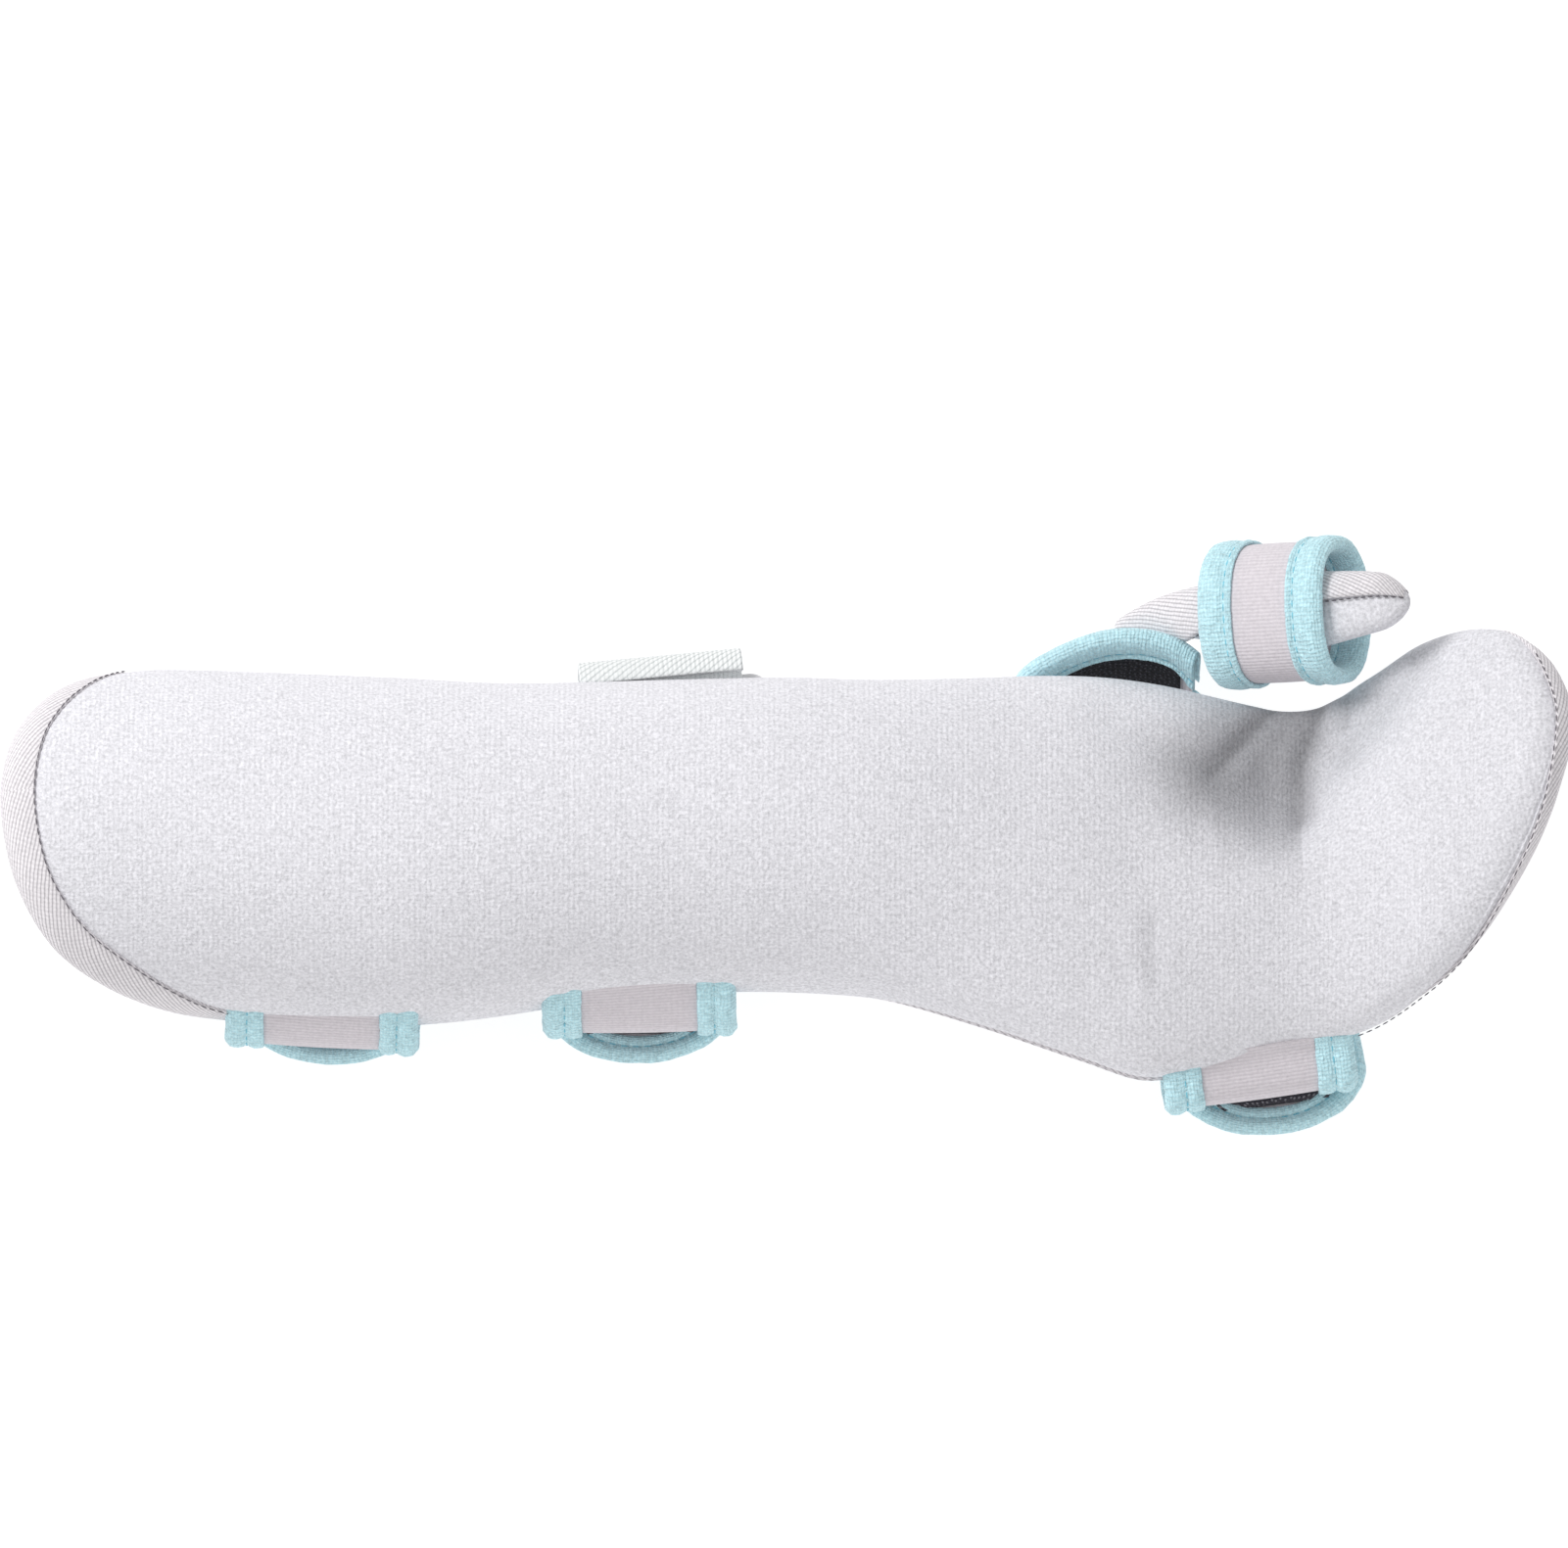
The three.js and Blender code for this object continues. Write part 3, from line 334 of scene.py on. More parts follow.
def makeFinish(name, look):
    material = bpy.data.materials.new(name)
    material.use_nodes = True
    tree = material.node_tree
    tree.nodes.clear()
    shader = addNode(tree, "ShaderNodeBsdfPrincipled",
                     {"Sheen Weight": look["sheen"], "Specular IOR Level": 0.25})
    output = tree.nodes.new("ShaderNodeOutputMaterial")
    tree.links.new(shader.outputs[0], output.inputs[0])
    cloth = addNode(tree, "ShaderNodeUVMap", uv_map="weave").outputs[0]
    place = tree.nodes.new("ShaderNodeTexCoord").outputs["Object"]
    fuzzSize, fuzzShare, fuzzHeight = look["fuzz"]
    fuzz = useGroup(tree, fabricFuzz, Place=place, Size=fuzzSize)
    blotch = useGroup(tree, fabricFuzz, Place=place, Size=look["blotch"][0], Detail=3.0)
    colour = None
    height = calc(tree, "MULTIPLY", fuzz, fuzzHeight)
    for spacing, turn, waver, narrow, share, rise in look["lines"]:
        lines = useGroup(tree, threadLines, Cloth=cloth, Spacing=spacing, Turn=math.radians(turn),
                         Waver=waver, Narrow=narrow)
        mix = addNode(tree, "ShaderNodeMix", {0: calc(tree, "MULTIPLY", lines, share), 7: look["dark"]},
                      data_type="RGBA")
        if colour is None:
            mix.inputs[6].default_value = look["base"]
        else:
            tree.links.new(colour, mix.inputs[6])
        colour = mix.outputs[2]
        height = calc(tree, "MULTIPLY_ADD", lines, rise, height)
    if "dots" in look:
        spacing, radius, tint = look["dots"]
        dots = useGroup(tree, hookDots, Cloth=cloth, Spacing=spacing, Radius=radius)
        mix = addNode(tree, "ShaderNodeMix", {0: dots, 6: colour, 7: tint}, data_type="RGBA")
        colour = mix.outputs[2]
        height = calc(tree, "MULTIPLY_ADD", dots, 1.2, height)
    value = calc(tree, "MULTIPLY_ADD", calc(tree, "SUBTRACT", fuzz, 0.5), fuzzShare, 1.0)
    value = calc(tree, "MULTIPLY_ADD", calc(tree, "SUBTRACT", blotch, 0.5), look["blotch"][1], value)
    # painted shade: a point attribute darkens the base colour in the folds, where shade falls
    if "tone" in look:
        deep = addNode(tree, "ShaderNodeAttribute", attribute_name=look["tone"]).outputs["Fac"]
        value = calc(tree, "MULTIPLY", value, calc(tree, "SUBTRACT", 1.0, deep))
    tone = addNode(tree, "ShaderNodeHueSaturation", {"Value": value})
    if colour is None:
        tone.inputs["Color"].default_value = look["base"]
    else:
        tree.links.new(colour, tone.inputs["Color"])
    tree.links.new(tone.outputs[0], shader.inputs["Base Color"])
    rough = calc(tree, "MULTIPLY_ADD", fuzz, -0.12, look["roughness"] + 0.06)
    tree.links.new(rough, shader.inputs["Roughness"])
    bump = addNode(tree, "ShaderNodeBump", {"Strength": 0.8, "Distance": look["bump"], "Height": height})
    tree.links.new(bump.outputs[0], shader.inputs["Normal"])
    return material


materials = {name: makeFinish(name, look) for name, look in finishes.items()}
print("finishes made:", len(materials))


# pieces

def linked(name, data):
    made = bpy.data.objects.new(name, data)
    bpy.context.scene.collection.objects.link(made)
    return made


def newObject(name, bm, finish):
    mesh = bpy.data.meshes.new(name)
    for face in bm.faces:
        face.smooth = True
    bm.to_mesh(mesh)
    bm.free()
    piece = linked(name, mesh)
    mesh.materials.append(materials[finish])
    return piece


def mount(piece, slot, *nodes):
    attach(piece, "root")
    if nodes:
        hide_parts(*nodes)
    return piece


def runLength(points):
    run = [0.0]
    for a, b in zip(points, points[1:]):
        run.append(run[-1] + (b - a).length)
    return run


def gridPiece(name, rings, finish, closedPath=False, pivot=None):
    # each ring is a closed row of points in the arm's millimetres; the weave starts at the pivot column
    rows = [ring + ring[:1] for ring in rings]
    if closedPath:
        rows.append(rows[0])
    tall, wide = len(rows), len(rows[0])
    along = runLength([sum(row[:-1], Vector()) / (wide - 1) for row in rows])
    across = [runLength(row) for row in (rows if pivot is not None else [rows[tall // 3]] * tall)]
    across = [[place - run[pivot or 0] for place in run] for run in across]
    bm = bmesh.new()
    weave = bm.loops.layers.uv.new("weave")
    bmesh.ops.create_grid(bm, x_segments=wide - 1, y_segments=tall - 1, size=0.5)
    for face in bm.faces:
        for corner in face.loops:
            spot = corner.vert.co
            column, row = round((spot.x + 0.5) * (wide - 1)), round((spot.y + 0.5) * (tall - 1))
            corner[weave].uv = (along[row], across[row][column])
    for vert in bm.verts:
        column, row = round((vert.co.x + 0.5) * (wide - 1)), round((vert.co.y + 0.5) * (tall - 1))
        vert.co = toFrame(rows[row][column])
        vert.co.z = max(vert.co.z, 0)
    bmesh.ops.remove_doubles(bm, verts=bm.verts, dist=2e-6)
    bmesh.ops.dissolve_degenerate(bm, edges=bm.edges, dist=1e-6)
    rims = [edge for edge in bm.edges if edge.is_boundary]
    if rims:
        bmesh.ops.holes_fill(bm, edges=rims, sides=0)
    bmesh.ops.recalc_face_normals(bm, faces=bm.faces)
    return newObject(name, bm, finish)


def normalsOf(piece):
    # read all the normals first, because a moved point makes them stale
    normals = [vert.normal.copy() for vert in piece.data.vertices]
    return list(zip(piece.data.vertices, normals))


def roughen(piece, amount, size):
    # soft nap: a small seeded swell along the normals
    for vert, normal in normalsOf(piece):
        vert.co += normal * mm * amount * noise.noise(vert.co / mm / size)
        vert.co.z = max(vert.co.z, 0)
    piece.data.update()


def stitchRow(bm, points, normals, stitch):
    run = runLength(points)
    place = stitch["spacing"] / 2
    i = 0
    while place < run[-1]:
        while run[i + 1] < place:
            i += 1
        t = (place - run[i]) / max(run[i + 1] - run[i], 1e-6)
        along = (points[i + 1] - points[i]).normalized()
        normal = normals[i].lerp(normals[i + 1], t)
        side = normal.cross(along).normalized()
        up = along.cross(side)
        spot = toFrame(points[i].lerp(points[i + 1], t))
        turn = Matrix((along, side, up)).transposed().to_4x4()
        size = Matrix.Diagonal((stitch["length"] / 2, stitch["thick"] / 2, stitch["thick"] / 2, 1 / mm)) * mm
        lay = Matrix.Translation(spot) @ turn @ size
        bmesh.ops.create_icosphere(bm, subdivisions=1, radius=1, matrix=lay)
        place += stitch["spacing"]


# padded trough
shellPad = {"thick": 12, "round": 8, "rebate": 1.5, "back": 6.2, "columns": 64, "forearmStep": 3.4,
            "palmStep": 1.9, "palmStart": 285, "paintedShadeStart": 270, "samples": 40, "nap": 0.12, "shrink": 0.3,
            "swell": 0.9, "sewnRim": 10, "rimFade": 22, "pressure": 4.0, "frames": 20}
# sewn creases of the palm: points in plan, depth, breadth, bulge beside it
creases = [
    ([(324.5, 78), (316.5, 68), (308.8, 58.4)], 0.9, 1.9, 0.7),
    ([(336.3, 77), (331.8, 63), (331.2, 46)], 0.7, 1.9, 0.9),
    ([(343, 79), (342.8, 71)], 0.8, 2.2, 0.4),
    ([(360.5, 83.5), (351, 73), (342, 63.5)], 0.9, 5.0, 0.5),
    ([(305, 53), (300, 60), (282, 69)], 0.8, 5.5, 0.3),
    ([(292.5, 17), (293, 2)], 0.55, 2.2, 0.35),
    ([(286.5, 5), (285.8, -4)], 0.4, 2.0, 0.25),
]
# painted shade that darkens the knit's colour in the palm folds, where shade falls: points in plan, darkness,
# breadth on the elbow and finger sides
paintedFoldShades = [
    ([(324.5, 80), (316.5, 68), (308.8, 58)], 0.45, 15, 19),
    ([(336.5, 78), (331.8, 63), (331.2, 47)], 0.34, 14, 3.6),
    ([(360.5, 84), (351, 73), (342, 63)], 0.12, 5.5, 5.5),
    ([(300, 61), (305, 53)], 0.1, 9, 7),
    ([(343, 79.5), (342.8, 72)], 0.2, 2.6, 1.6),
    ([(324.5, 78), (316.5, 68), (308.8, 58.4)], 0.22, 2.4, 1.0),
    ([(336.3, 77), (331.8, 63), (331.2, 46)], 0.22, 2.4, 0.9),
    ([(292.5, 17), (293, 2)], 0.1, 2.5, 1.5),
]


def applied(piece):
    graph = bpy.context.evaluated_depsgraph_get()
    mesh = bpy.data.meshes.new_from_object(piece.evaluated_get(graph))
    piece.modifiers.clear()
    piece.data = mesh


def puff(piece, pad, freedom):
    # freedom is each point's share of the swell, none at the sewn rim
    for (vert, normal), share in zip(normalsOf(piece), freedom):
        vert.co -= normal * pad["shrink"] * mm * share
    piece.data.update()
    start = [vert.co.copy() for vert in piece.data.vertices]
    rim = piece.vertex_groups.new(name="rim")
    rim.add([i for i, share in enumerate(freedom) if share < 0.05], 1.0, "REPLACE")
    cloth = piece.modifiers.new("swell", "CLOTH")
    cloth.settings.quality = 4
    cloth.settings.mass = 0.3
    cloth.settings.tension_stiffness = 15
    cloth.settings.compression_stiffness = 15
    cloth.settings.bending_stiffness = 0.8
    cloth.settings.use_pressure = True
    cloth.settings.uniform_pressure_force = pad["pressure"]
    cloth.settings.vertex_group_mass = "rim"
    cloth.settings.effector_weights.gravity = 0
    cloth.point_cache.frame_end = pad["frames"]
    scene = bpy.context.scene
    for now in range(1, pad["frames"] + 1):
        scene.frame_set(now)
    applied(piece)
    scene.frame_set(1)
    piece.vertex_groups.clear()
    for vert, rest, share in zip(piece.data.vertices, start, freedom):
        move = vert.co - rest
        most = pad["swell"] * mm * share
        if move.length > most:
            move *= most / max(move.length, 1e-9)
        vert.co = rest + move
    piece.data.update()


def subdivided(piece):
    finer = piece.modifiers.new("finer", "SUBSURF")
    finer.levels = finer.render_levels = 1
    applied(piece)


def rimStations():
    rows, last = [], None
    fine = shellPad["samples"] * (len(edges) - 1)
    for k in range(fine + 1):
        row = edgeAt(k / shellPad["samples"])
        ends = [trough(row[0], side[0]) for side in row[1:]]
        step = shellPad["palmStep"] if row[0] > shellPad["palmStart"] else shellPad["forearmStep"]
        if last is None or k == fine or max((a - b).length for a, b in zip(ends, last)) >= step:
            rows.append(row)
            last = ends
    return rows


rimRows = rimStations()
rim = [(x, *ulnar) for x, ulnar, radial in rimRows]
rim += [(x, *radial) for x, ulnar, radial in reversed(rimRows[1:-1])]
rimPoints = [trough(x, angle) for x, angle, tape, knit in rim]
rimOutward = []
rimTree = kdtree.KDTree(len(rim))
for i, (x, angle, tape, knit) in enumerate(rim):
    ahead = rimPoints[(i + 1) % len(rim)] - rimPoints[i - 1]
    rimOutward.append(ahead.cross(troughFrame(x, angle)[3]).normalized())
    rimTree.insert(rimPoints[i], i)
rimTree.balance()


def nearestOn(line, x, y):
    best = None
    for k, (start, end) in enumerate(zip(line, line[1:])):
        away, share = awayFromLine(x, y, start, end)
        share = min(max(share, 0), 1)
        if best is None or away < best[0]:
            best = away, (k + share) / (len(line) - 1), x - lerp(start[0], end[0], share)
    return best


def creaseOffset(point):
    offset = 0
    for line, depth, breadth, bulge in creases:
        away, place, _ = nearestOn(line, point.x, point.y)
        if away < 5 * breadth:
            fade = math.sin(math.pi * min(max(place, 0.12), 0.88)) ** 0.5
            dip = math.exp(-((away / breadth) ** 2))
            swell = math.exp(-(((away - 2.2 * breadth) / breadth) ** 2))
            offset += (bulge * swell - depth * dip) * fade
    return offset


# painted shade: how much the knit's colour is darkened at a point in the palm folds
def paintedFoldShade(point):
    light = 1
    for line, darkness, elbowSide, fingerSide in paintedFoldShades:
        away, _, side = nearestOn(line, point.x, point.y)
        light *= 1 - darkness * math.exp(-((away / (elbowSide if side < 0 else fingerSide)) ** 2))
    return 1 - light


def padPoints(x, angle):
    # the outer and inner face at one place, both drawn together at the rim
    point, _, _, normal = troughFrame(x, angle)
    _, near, away = rimTree.find(point)
    _, _, tape, knit = rim[near]
    half, inset = shellPad["thick"] / 2, min(away / shellPad["round"], 1)
    full = math.sqrt(1 - (1 - inset) ** 2)
    backPoint, _, _, backNormal = troughFrame(x, angle, 1 - ease((away - 2) / 12))
    frontSeat = shellPad["rebate"] * (1 - ease((away - tape + 1) / 2.2)) * ease((tape - 3) / 4)
    backSeat = shellPad["rebate"] * (1 - ease((away - shellPad["back"]) / 4))
    nap = shellPad["nap"] * noise.noise(point / 14) + creaseOffset(point) * ease((away - 3) / 8)
    roll = rimOutward[near] * knit * (1 - inset)
    outer = point + normal * ((half - frontSeat + nap) * full - half) + roll
    inner = backPoint - backNormal * ((half - backSeat) * full + half) + roll * (1 - inset)
    return outer, inner


def makeShell():
    columns = shellPad["columns"]
    rings = []
    for x, ulnar, radial in rimRows:
        pairs = []
        for k in range(columns + 1):
            share = k / columns - 0.6 * math.sin(2 * math.pi * k / columns) / (2 * math.pi)
            pairs.append(padPoints(x, lerp(ulnar[0], radial[0], share)))
        rings.append([outer for outer, inner in pairs] + [inner for outer, inner in reversed(pairs)])
    piece = gridPiece("shell_pad_cloth", rings, "knitFabric", pivot=columns // 2)
    freedom = []
    for vert in piece.data.vertices:
        away = rimTree.find(toArm(vert.co))[2] - shellPad["sewnRim"]
        freedom.append(ease(away / shellPad["rimFade"]))
    puff(piece, shellPad, freedom)
    subdivided(piece)
    # painted shade: the knit's colour is darkened in the palm folds on the upward outer face, stored as a
    # point attribute
    paintedShades = piece.data.attributes.new("paintedFoldShade", "FLOAT", "POINT")
    for vert, normal in normalsOf(piece):
        spot = toArm(vert.co)
        if spot.x > shellPad["paintedShadeStart"] and normal.z > 0:
            paintedShades.data[vert.index].value = paintedFoldShade(spot) * ease(normal.z * 3)
    return mount(piece, "knit_fabric", "shell_pad")


shell = makeShell()
print("trough padded:", len(shell.data.vertices), "points")


# twill tape round the rim
shellTape = {"thick": 1.2, "back": 6.2, "round": 6, "seat": 1.4, "clear": 1.0, "cornerEase": 1.1, "turns": 9}
tapeStitch = {"spacing": 2.6, "length": 2.2, "thick": 0.38, "least": 3.5,
              "ulnarStart": 345, "radialStart": 389}


def tapeLine(reach, knit):
    half = shellPad["thick"] / 2 - shellTape["seat"]
    bend = shellTape["round"]
    first = math.asin(1 - min(reach / bend, 1)) + math.radians(20) * max(knit - 0.6, 0)
    line = []
    for k in range(shellTape["turns"] + 1):
        turn = lerp(first, math.pi, k / shellTape["turns"])
        sine, cosine = math.sin(turn), math.cos(turn)
        size = math.hypot(sine / bend, cosine / half)
        out, up = sine / bend / size, cosine / half / size
        offset = shellTape["clear"] + shellTape["cornerEase"] * sine - 0.75 * knit * math.sqrt(max(cosine, 0))
        line.append((bend * (1 - sine) - offset * out, half * cosine + offset * up, out, up))
    inward, rise, out, up = line[0]
    lap = max(reach - inward, 0.6)
    for share, dive in ((0.35, 0), (0.7, 0.1), (1.0, 0.5)):
        line.insert(0, (inward + lap * share * up, rise + lap * share * out - dive, out, up))
    line.append((shellTape["back"], -half - shellTape["clear"], 0, -1))
    return line


def tapeRing(i):
    x, angle, tape, knit = rim[i]
    _, alongX, alongAngle, _ = troughFrame(x, angle)
    outward = rimOutward[i]
    xx, xa, aa = alongX.dot(alongX), alongX.dot(alongAngle), alongAngle.dot(alongAngle)
    outX, outAngle = outward.dot(alongX), outward.dot(alongAngle)
    spread = xx * aa - xa * xa
    stepX, stepAngle = (aa * outX - xa * outAngle) / spread, (xx * outAngle - xa * outX) / spread
    line = tapeLine(tape, knit)

    def at(entry, side):
        inward = entry[0] - side * shellTape["thick"] * entry[2] / 2
        rise = entry[1] + side * shellTape["thick"] * entry[3] / 2
        keep = 1 - ease((inward - 2) / 12) if rise < 0 else 1
        spot, _, _, up = troughFrame(x - inward * stepX, angle - inward * stepAngle, keep)
        return spot + up * (rise - shellPad["thick"] / 2), up

    outer = [at(entry, 1)[0] for entry in line]
    inner = [at(entry, -1)[0] for entry in reversed(line)]
    lip = list(line[0])
    lip[0] -= 0.2
    lip[1] += 0.75
    seam, up = at(lip, 0.5)
    return outer + inner, seam, up


def makeTape():
    made = [tapeRing(i) for i in range(len(rim))]
    rings = [ring for ring, _, _ in made]
    tape = gridPiece("shell_binding_tape", rings, "twillTape", closedPath=True, pivot=7)
    finer = tape.modifiers.new("soft", "SUBSURF")
    finer.levels = finer.render_levels = 1
    mount(tape, "twill_tape", "shell_binding")
    bm = bmesh.new()
    turned = [(i + len(rim) // 2) % len(rim) for i in range(len(rim))]
    elbow = [i for i in turned if rim[i][2] > tapeStitch["least"]]
    sides = ["ulnarStart" if i < len(rimRows) else "radialStart" for i in range(len(rim))]
    fingers = [i for i, side in enumerate(sides) if rim[i][0] > tapeStitch[side]]
    for sewn in (elbow, fingers):
        stitchRow(bm, [made[i][1] for i in sewn], [made[i][2] for i in sewn], tapeStitch)
    return tape, mount(newObject("shell_binding_stitches", bm, "darkThread"), "twill_tape")


makeTape()
print("edge tape made")


# straps, bindings and hooks
strapCloth = {"width": 47, "web": 1.8, "puff": 0.25, "reach": 8.5, "tip": 15, "gap": 0.2, "thick": 0.95,
              "lowerLayer": 2.0, "upperLayer": 8.2, "spacing": 1.4, "sewnEnd": 10, "twistEnd": 18,
              "groove": 4.3, "tipLap": 0.62}
bindingStitch = {"spacing": 3.0, "length": 2.2, "thick": 0.45}
# nap of the binding: amount and size of the swell, mm
fineNap, broadNap = (0.18, 1.7), (0.3, 7)
hookPad = {"width": 31, "start": 40, "end": 6.2, "margin": 5.6, "thick": 0.8, "gap": 0.35, "rows": 24}
straps = {
    "forearm": {"middle": (83.5, 41.283), "turn": -3, "top": 30, "lead": 4.2, "twist": -2.5,
                "wall": -45.425, "hang": -49.025, "belly": 0, "bar": 5.307, "tongue": 4.9, "drift": 1},
    "wrist": {"middle": (161.4, 43.703), "turn": 1, "top": 30, "lead": 4.6, "twist": 4.5,
              "wall": -43.872, "hang": -47.472, "belly": 0, "bar": 22.784, "tongue": 8.6, "drift": 0},
    "hand": {"middle": (313.5, 33.032), "turn": 8, "top": 24.5, "lead": 5, "twist": 1,
             "wall": -50.055, "hang": -52.255, "belly": 2.6, "bar": 11.173, "tongue": 11.6, "drift": 3.6},
}
up = Vector((0, 0, 1))


def bezier(points, steps):
    line = []
    for k in range(steps + 1):
        row = [Vector(point) for point in points]
        while len(row) > 1:
            row = [a.lerp(b, k / steps) for a, b in zip(row, row[1:])]
        line.append(row[0])
    return line


def arc(centre, radius, start, end, steps):
    turns = [math.radians(lerp(start, end, k / steps)) for k in range(steps + 1)]
    return [Vector((centre[0] + radius * math.cos(t), centre[1] + radius * math.sin(t))) for t in turns]


def evenly(points, spacing):
    kept = [points[0]]
    for point in points[1:]:
        if (point - kept[-1]).length > 1e-4:
            kept.append(point)
    run = runLength(kept)
    count = max(int(run[-1] / spacing), 4)
    line, i = [], 0
    for k in range(count + 1):
        place = run[-1] * k / count
        while i < len(run) - 2 and run[i + 1] < place:
            i += 1
        line.append(kept[i].lerp(kept[i + 1], (place - run[i]) / (run[i + 1] - run[i])))
    return line


def planFrame(middle, turn):
    across = Vector((math.cos(math.radians(turn)), math.sin(math.radians(turn)), 0))
    return Vector((*middle, 0)), across, Vector((-across.y, across.x, 0))


def stripFrames(points, across):
    run = runLength(points)
    frames = []
    for i, point in enumerate(points):
        along = (points[min(i + 1, len(points) - 1)] - points[max(i - 1, 0)]).normalized()
        normal = across.cross(along).normalized()
        frames.append({"point": point, "along": along, "normal": normal, "run": run[i]})
    return frames


def frameAt(frames, run):
    i = 0
    while i < len(frames) - 2 and frames[i + 1]["run"] < run:
        i += 1
    start, end = frames[i], frames[i + 1]
    t = (run - start["run"]) / (end["run"] - start["run"])
    mixed = {key: start[key].lerp(end[key], t) for key in ("point", "along", "normal")}
    return {**mixed, "run": run}


def stripStations(frames, width, tip):
    tipStart = frames[-1]["run"] - tip
    stations = [{**f, "half": width / 2, "turn": 0} for f in frames if f["run"] < tipStart - 0.5]
    for turn in range(0, 91, 6):
        half = width / 2 * math.cos(math.radians(turn)) if turn < 90 else 0
        spot = frameAt(frames, tipStart + tip * math.sin(math.radians(turn)))
        stations.append({**spot, "half": half, "turn": turn})
    return stations


def webRings(stations, across, web, swell, columns=15):
    rings = []
    for station in stations:
        def at(share, face):
            pillow = swell * max(1 - (share / 0.64) ** 2, 0)
            rise = (web / 2 + pillow) * station.get("thin", 1)
            sideways = station.get("across", across) * (share * station["half"])
            offset = sideways + station["normal"] * face * rise
            return station["point"] + offset
        shares = [2 * k / columns - 1 for k in range(columns + 1)]
        rings.append([at(share, 1) for share in shares] + [at(share, -1) for share in reversed(shares)])
    return rings


def bindingProfile(cloth):
    inner = cloth["web"] / 2 + cloth["gap"]
    outer = inner + cloth["thick"]
    reach, groove = cloth["reach"], cloth["groove"]
    top = [
        (-reach, inner), (-reach - 0.25, inner + cloth["thick"] * 0.4), (-reach, outer - 0.12),
        (-(reach + groove) / 2, outer + 0.25), (-groove - 0.7, outer - 0.1), (-groove, outer - 0.6),
        (-groove + 0.7, outer - 0.1), (-groove * 0.5, outer + 0.35), (-groove * 0.2, outer + 0.2),
        (0, outer - 0.1), (cloth["gap"] + cloth["thick"] * 0.75, inner * 0.75),
        (cloth["gap"] + cloth["thick"] + 0.15, 0.25),
    ]
    under = [(out, -rise) for out, rise in reversed(top)]
    return top + under + [(cloth["gap"], -inner), (cloth["gap"], inner)]


def edgePath(stations, across, cloth):
    def side(sign):
        rows = []
        for station in stations:
            turn = math.radians(station["turn"])
            lean = math.atan2(math.sin(turn) * cloth["width"], math.cos(turn) * 2 * cloth["tip"])
            wide = station.get("across", across)
            outward = station["along"] * math.sin(lean) + wide * (sign * math.cos(lean))
            edge = station["point"] + wide * (sign * station["half"])
            lap = lerp(1, cloth["tipLap"], math.sin(turn)) * station.get("lap", 1)
            lap *= lerp(1, cloth.get("lowLap", 1), math.cos(turn)) if sign < 0 else 1
            rows.append((edge, outward, station["normal"] * station.get("thin", 1), lap))
        return rows
    return side(-1) + side(1)[-2::-1]


def bindingRings(path, profile):
    rings = []
    for point, outward, normal, lap in path:
        ring = [point + outward * (out * lap if out < 0 else out) + normal * rise for out, rise in profile]
        rings.append(ring)
    return rings


def bindingSeam(bm, path, cloth, closed=False):
    height = cloth["web"] / 2 + cloth["gap"] + cloth["thick"] - 0.55
    rows = path + path[:1] if closed else path
    for face in (1, -1):
        points = []
        for point, outward, normal, lap in rows:
            points.append(point - outward * cloth["groove"] * lap + normal * (face * height))
        stitchRow(bm, points, [row[2].normalized() * face for row in rows], bindingStitch)


def makeBinding(name, node, path, cloth, naps, closed=False):
    edge = gridPiece(name, bindingRings(path, bindingProfile(cloth)), "blueBinding", closedPath=closed)
    for nap in naps:
        roughen(edge, *nap)
    mount(edge, "blue_binding", node)


def strapPath(strap):
    wall, fold, bar, top = strap["wall"], strap["hang"] - strap["belly"], strap["bar"], strap["top"]
    low, high = strapCloth["lowerLayer"], strapCloth["upperLayer"]
    tipEnd = wall - strap["tongue"]
    line = bezier([(wall + strap["lead"], top + 1), (wall + 2.2, top - 6), (fold, high + 12),
                   (fold, high + 6)], 14)
    line += bezier([(fold, high + 6), (fold, high + 2), (fold + 2.5, high), (fold + 8, high)], 16)
    line += arc((bar, (low + high) / 2), (high - low) / 2, 90, -90, 16)
    line += [Vector((tipEnd, low))]
    return line


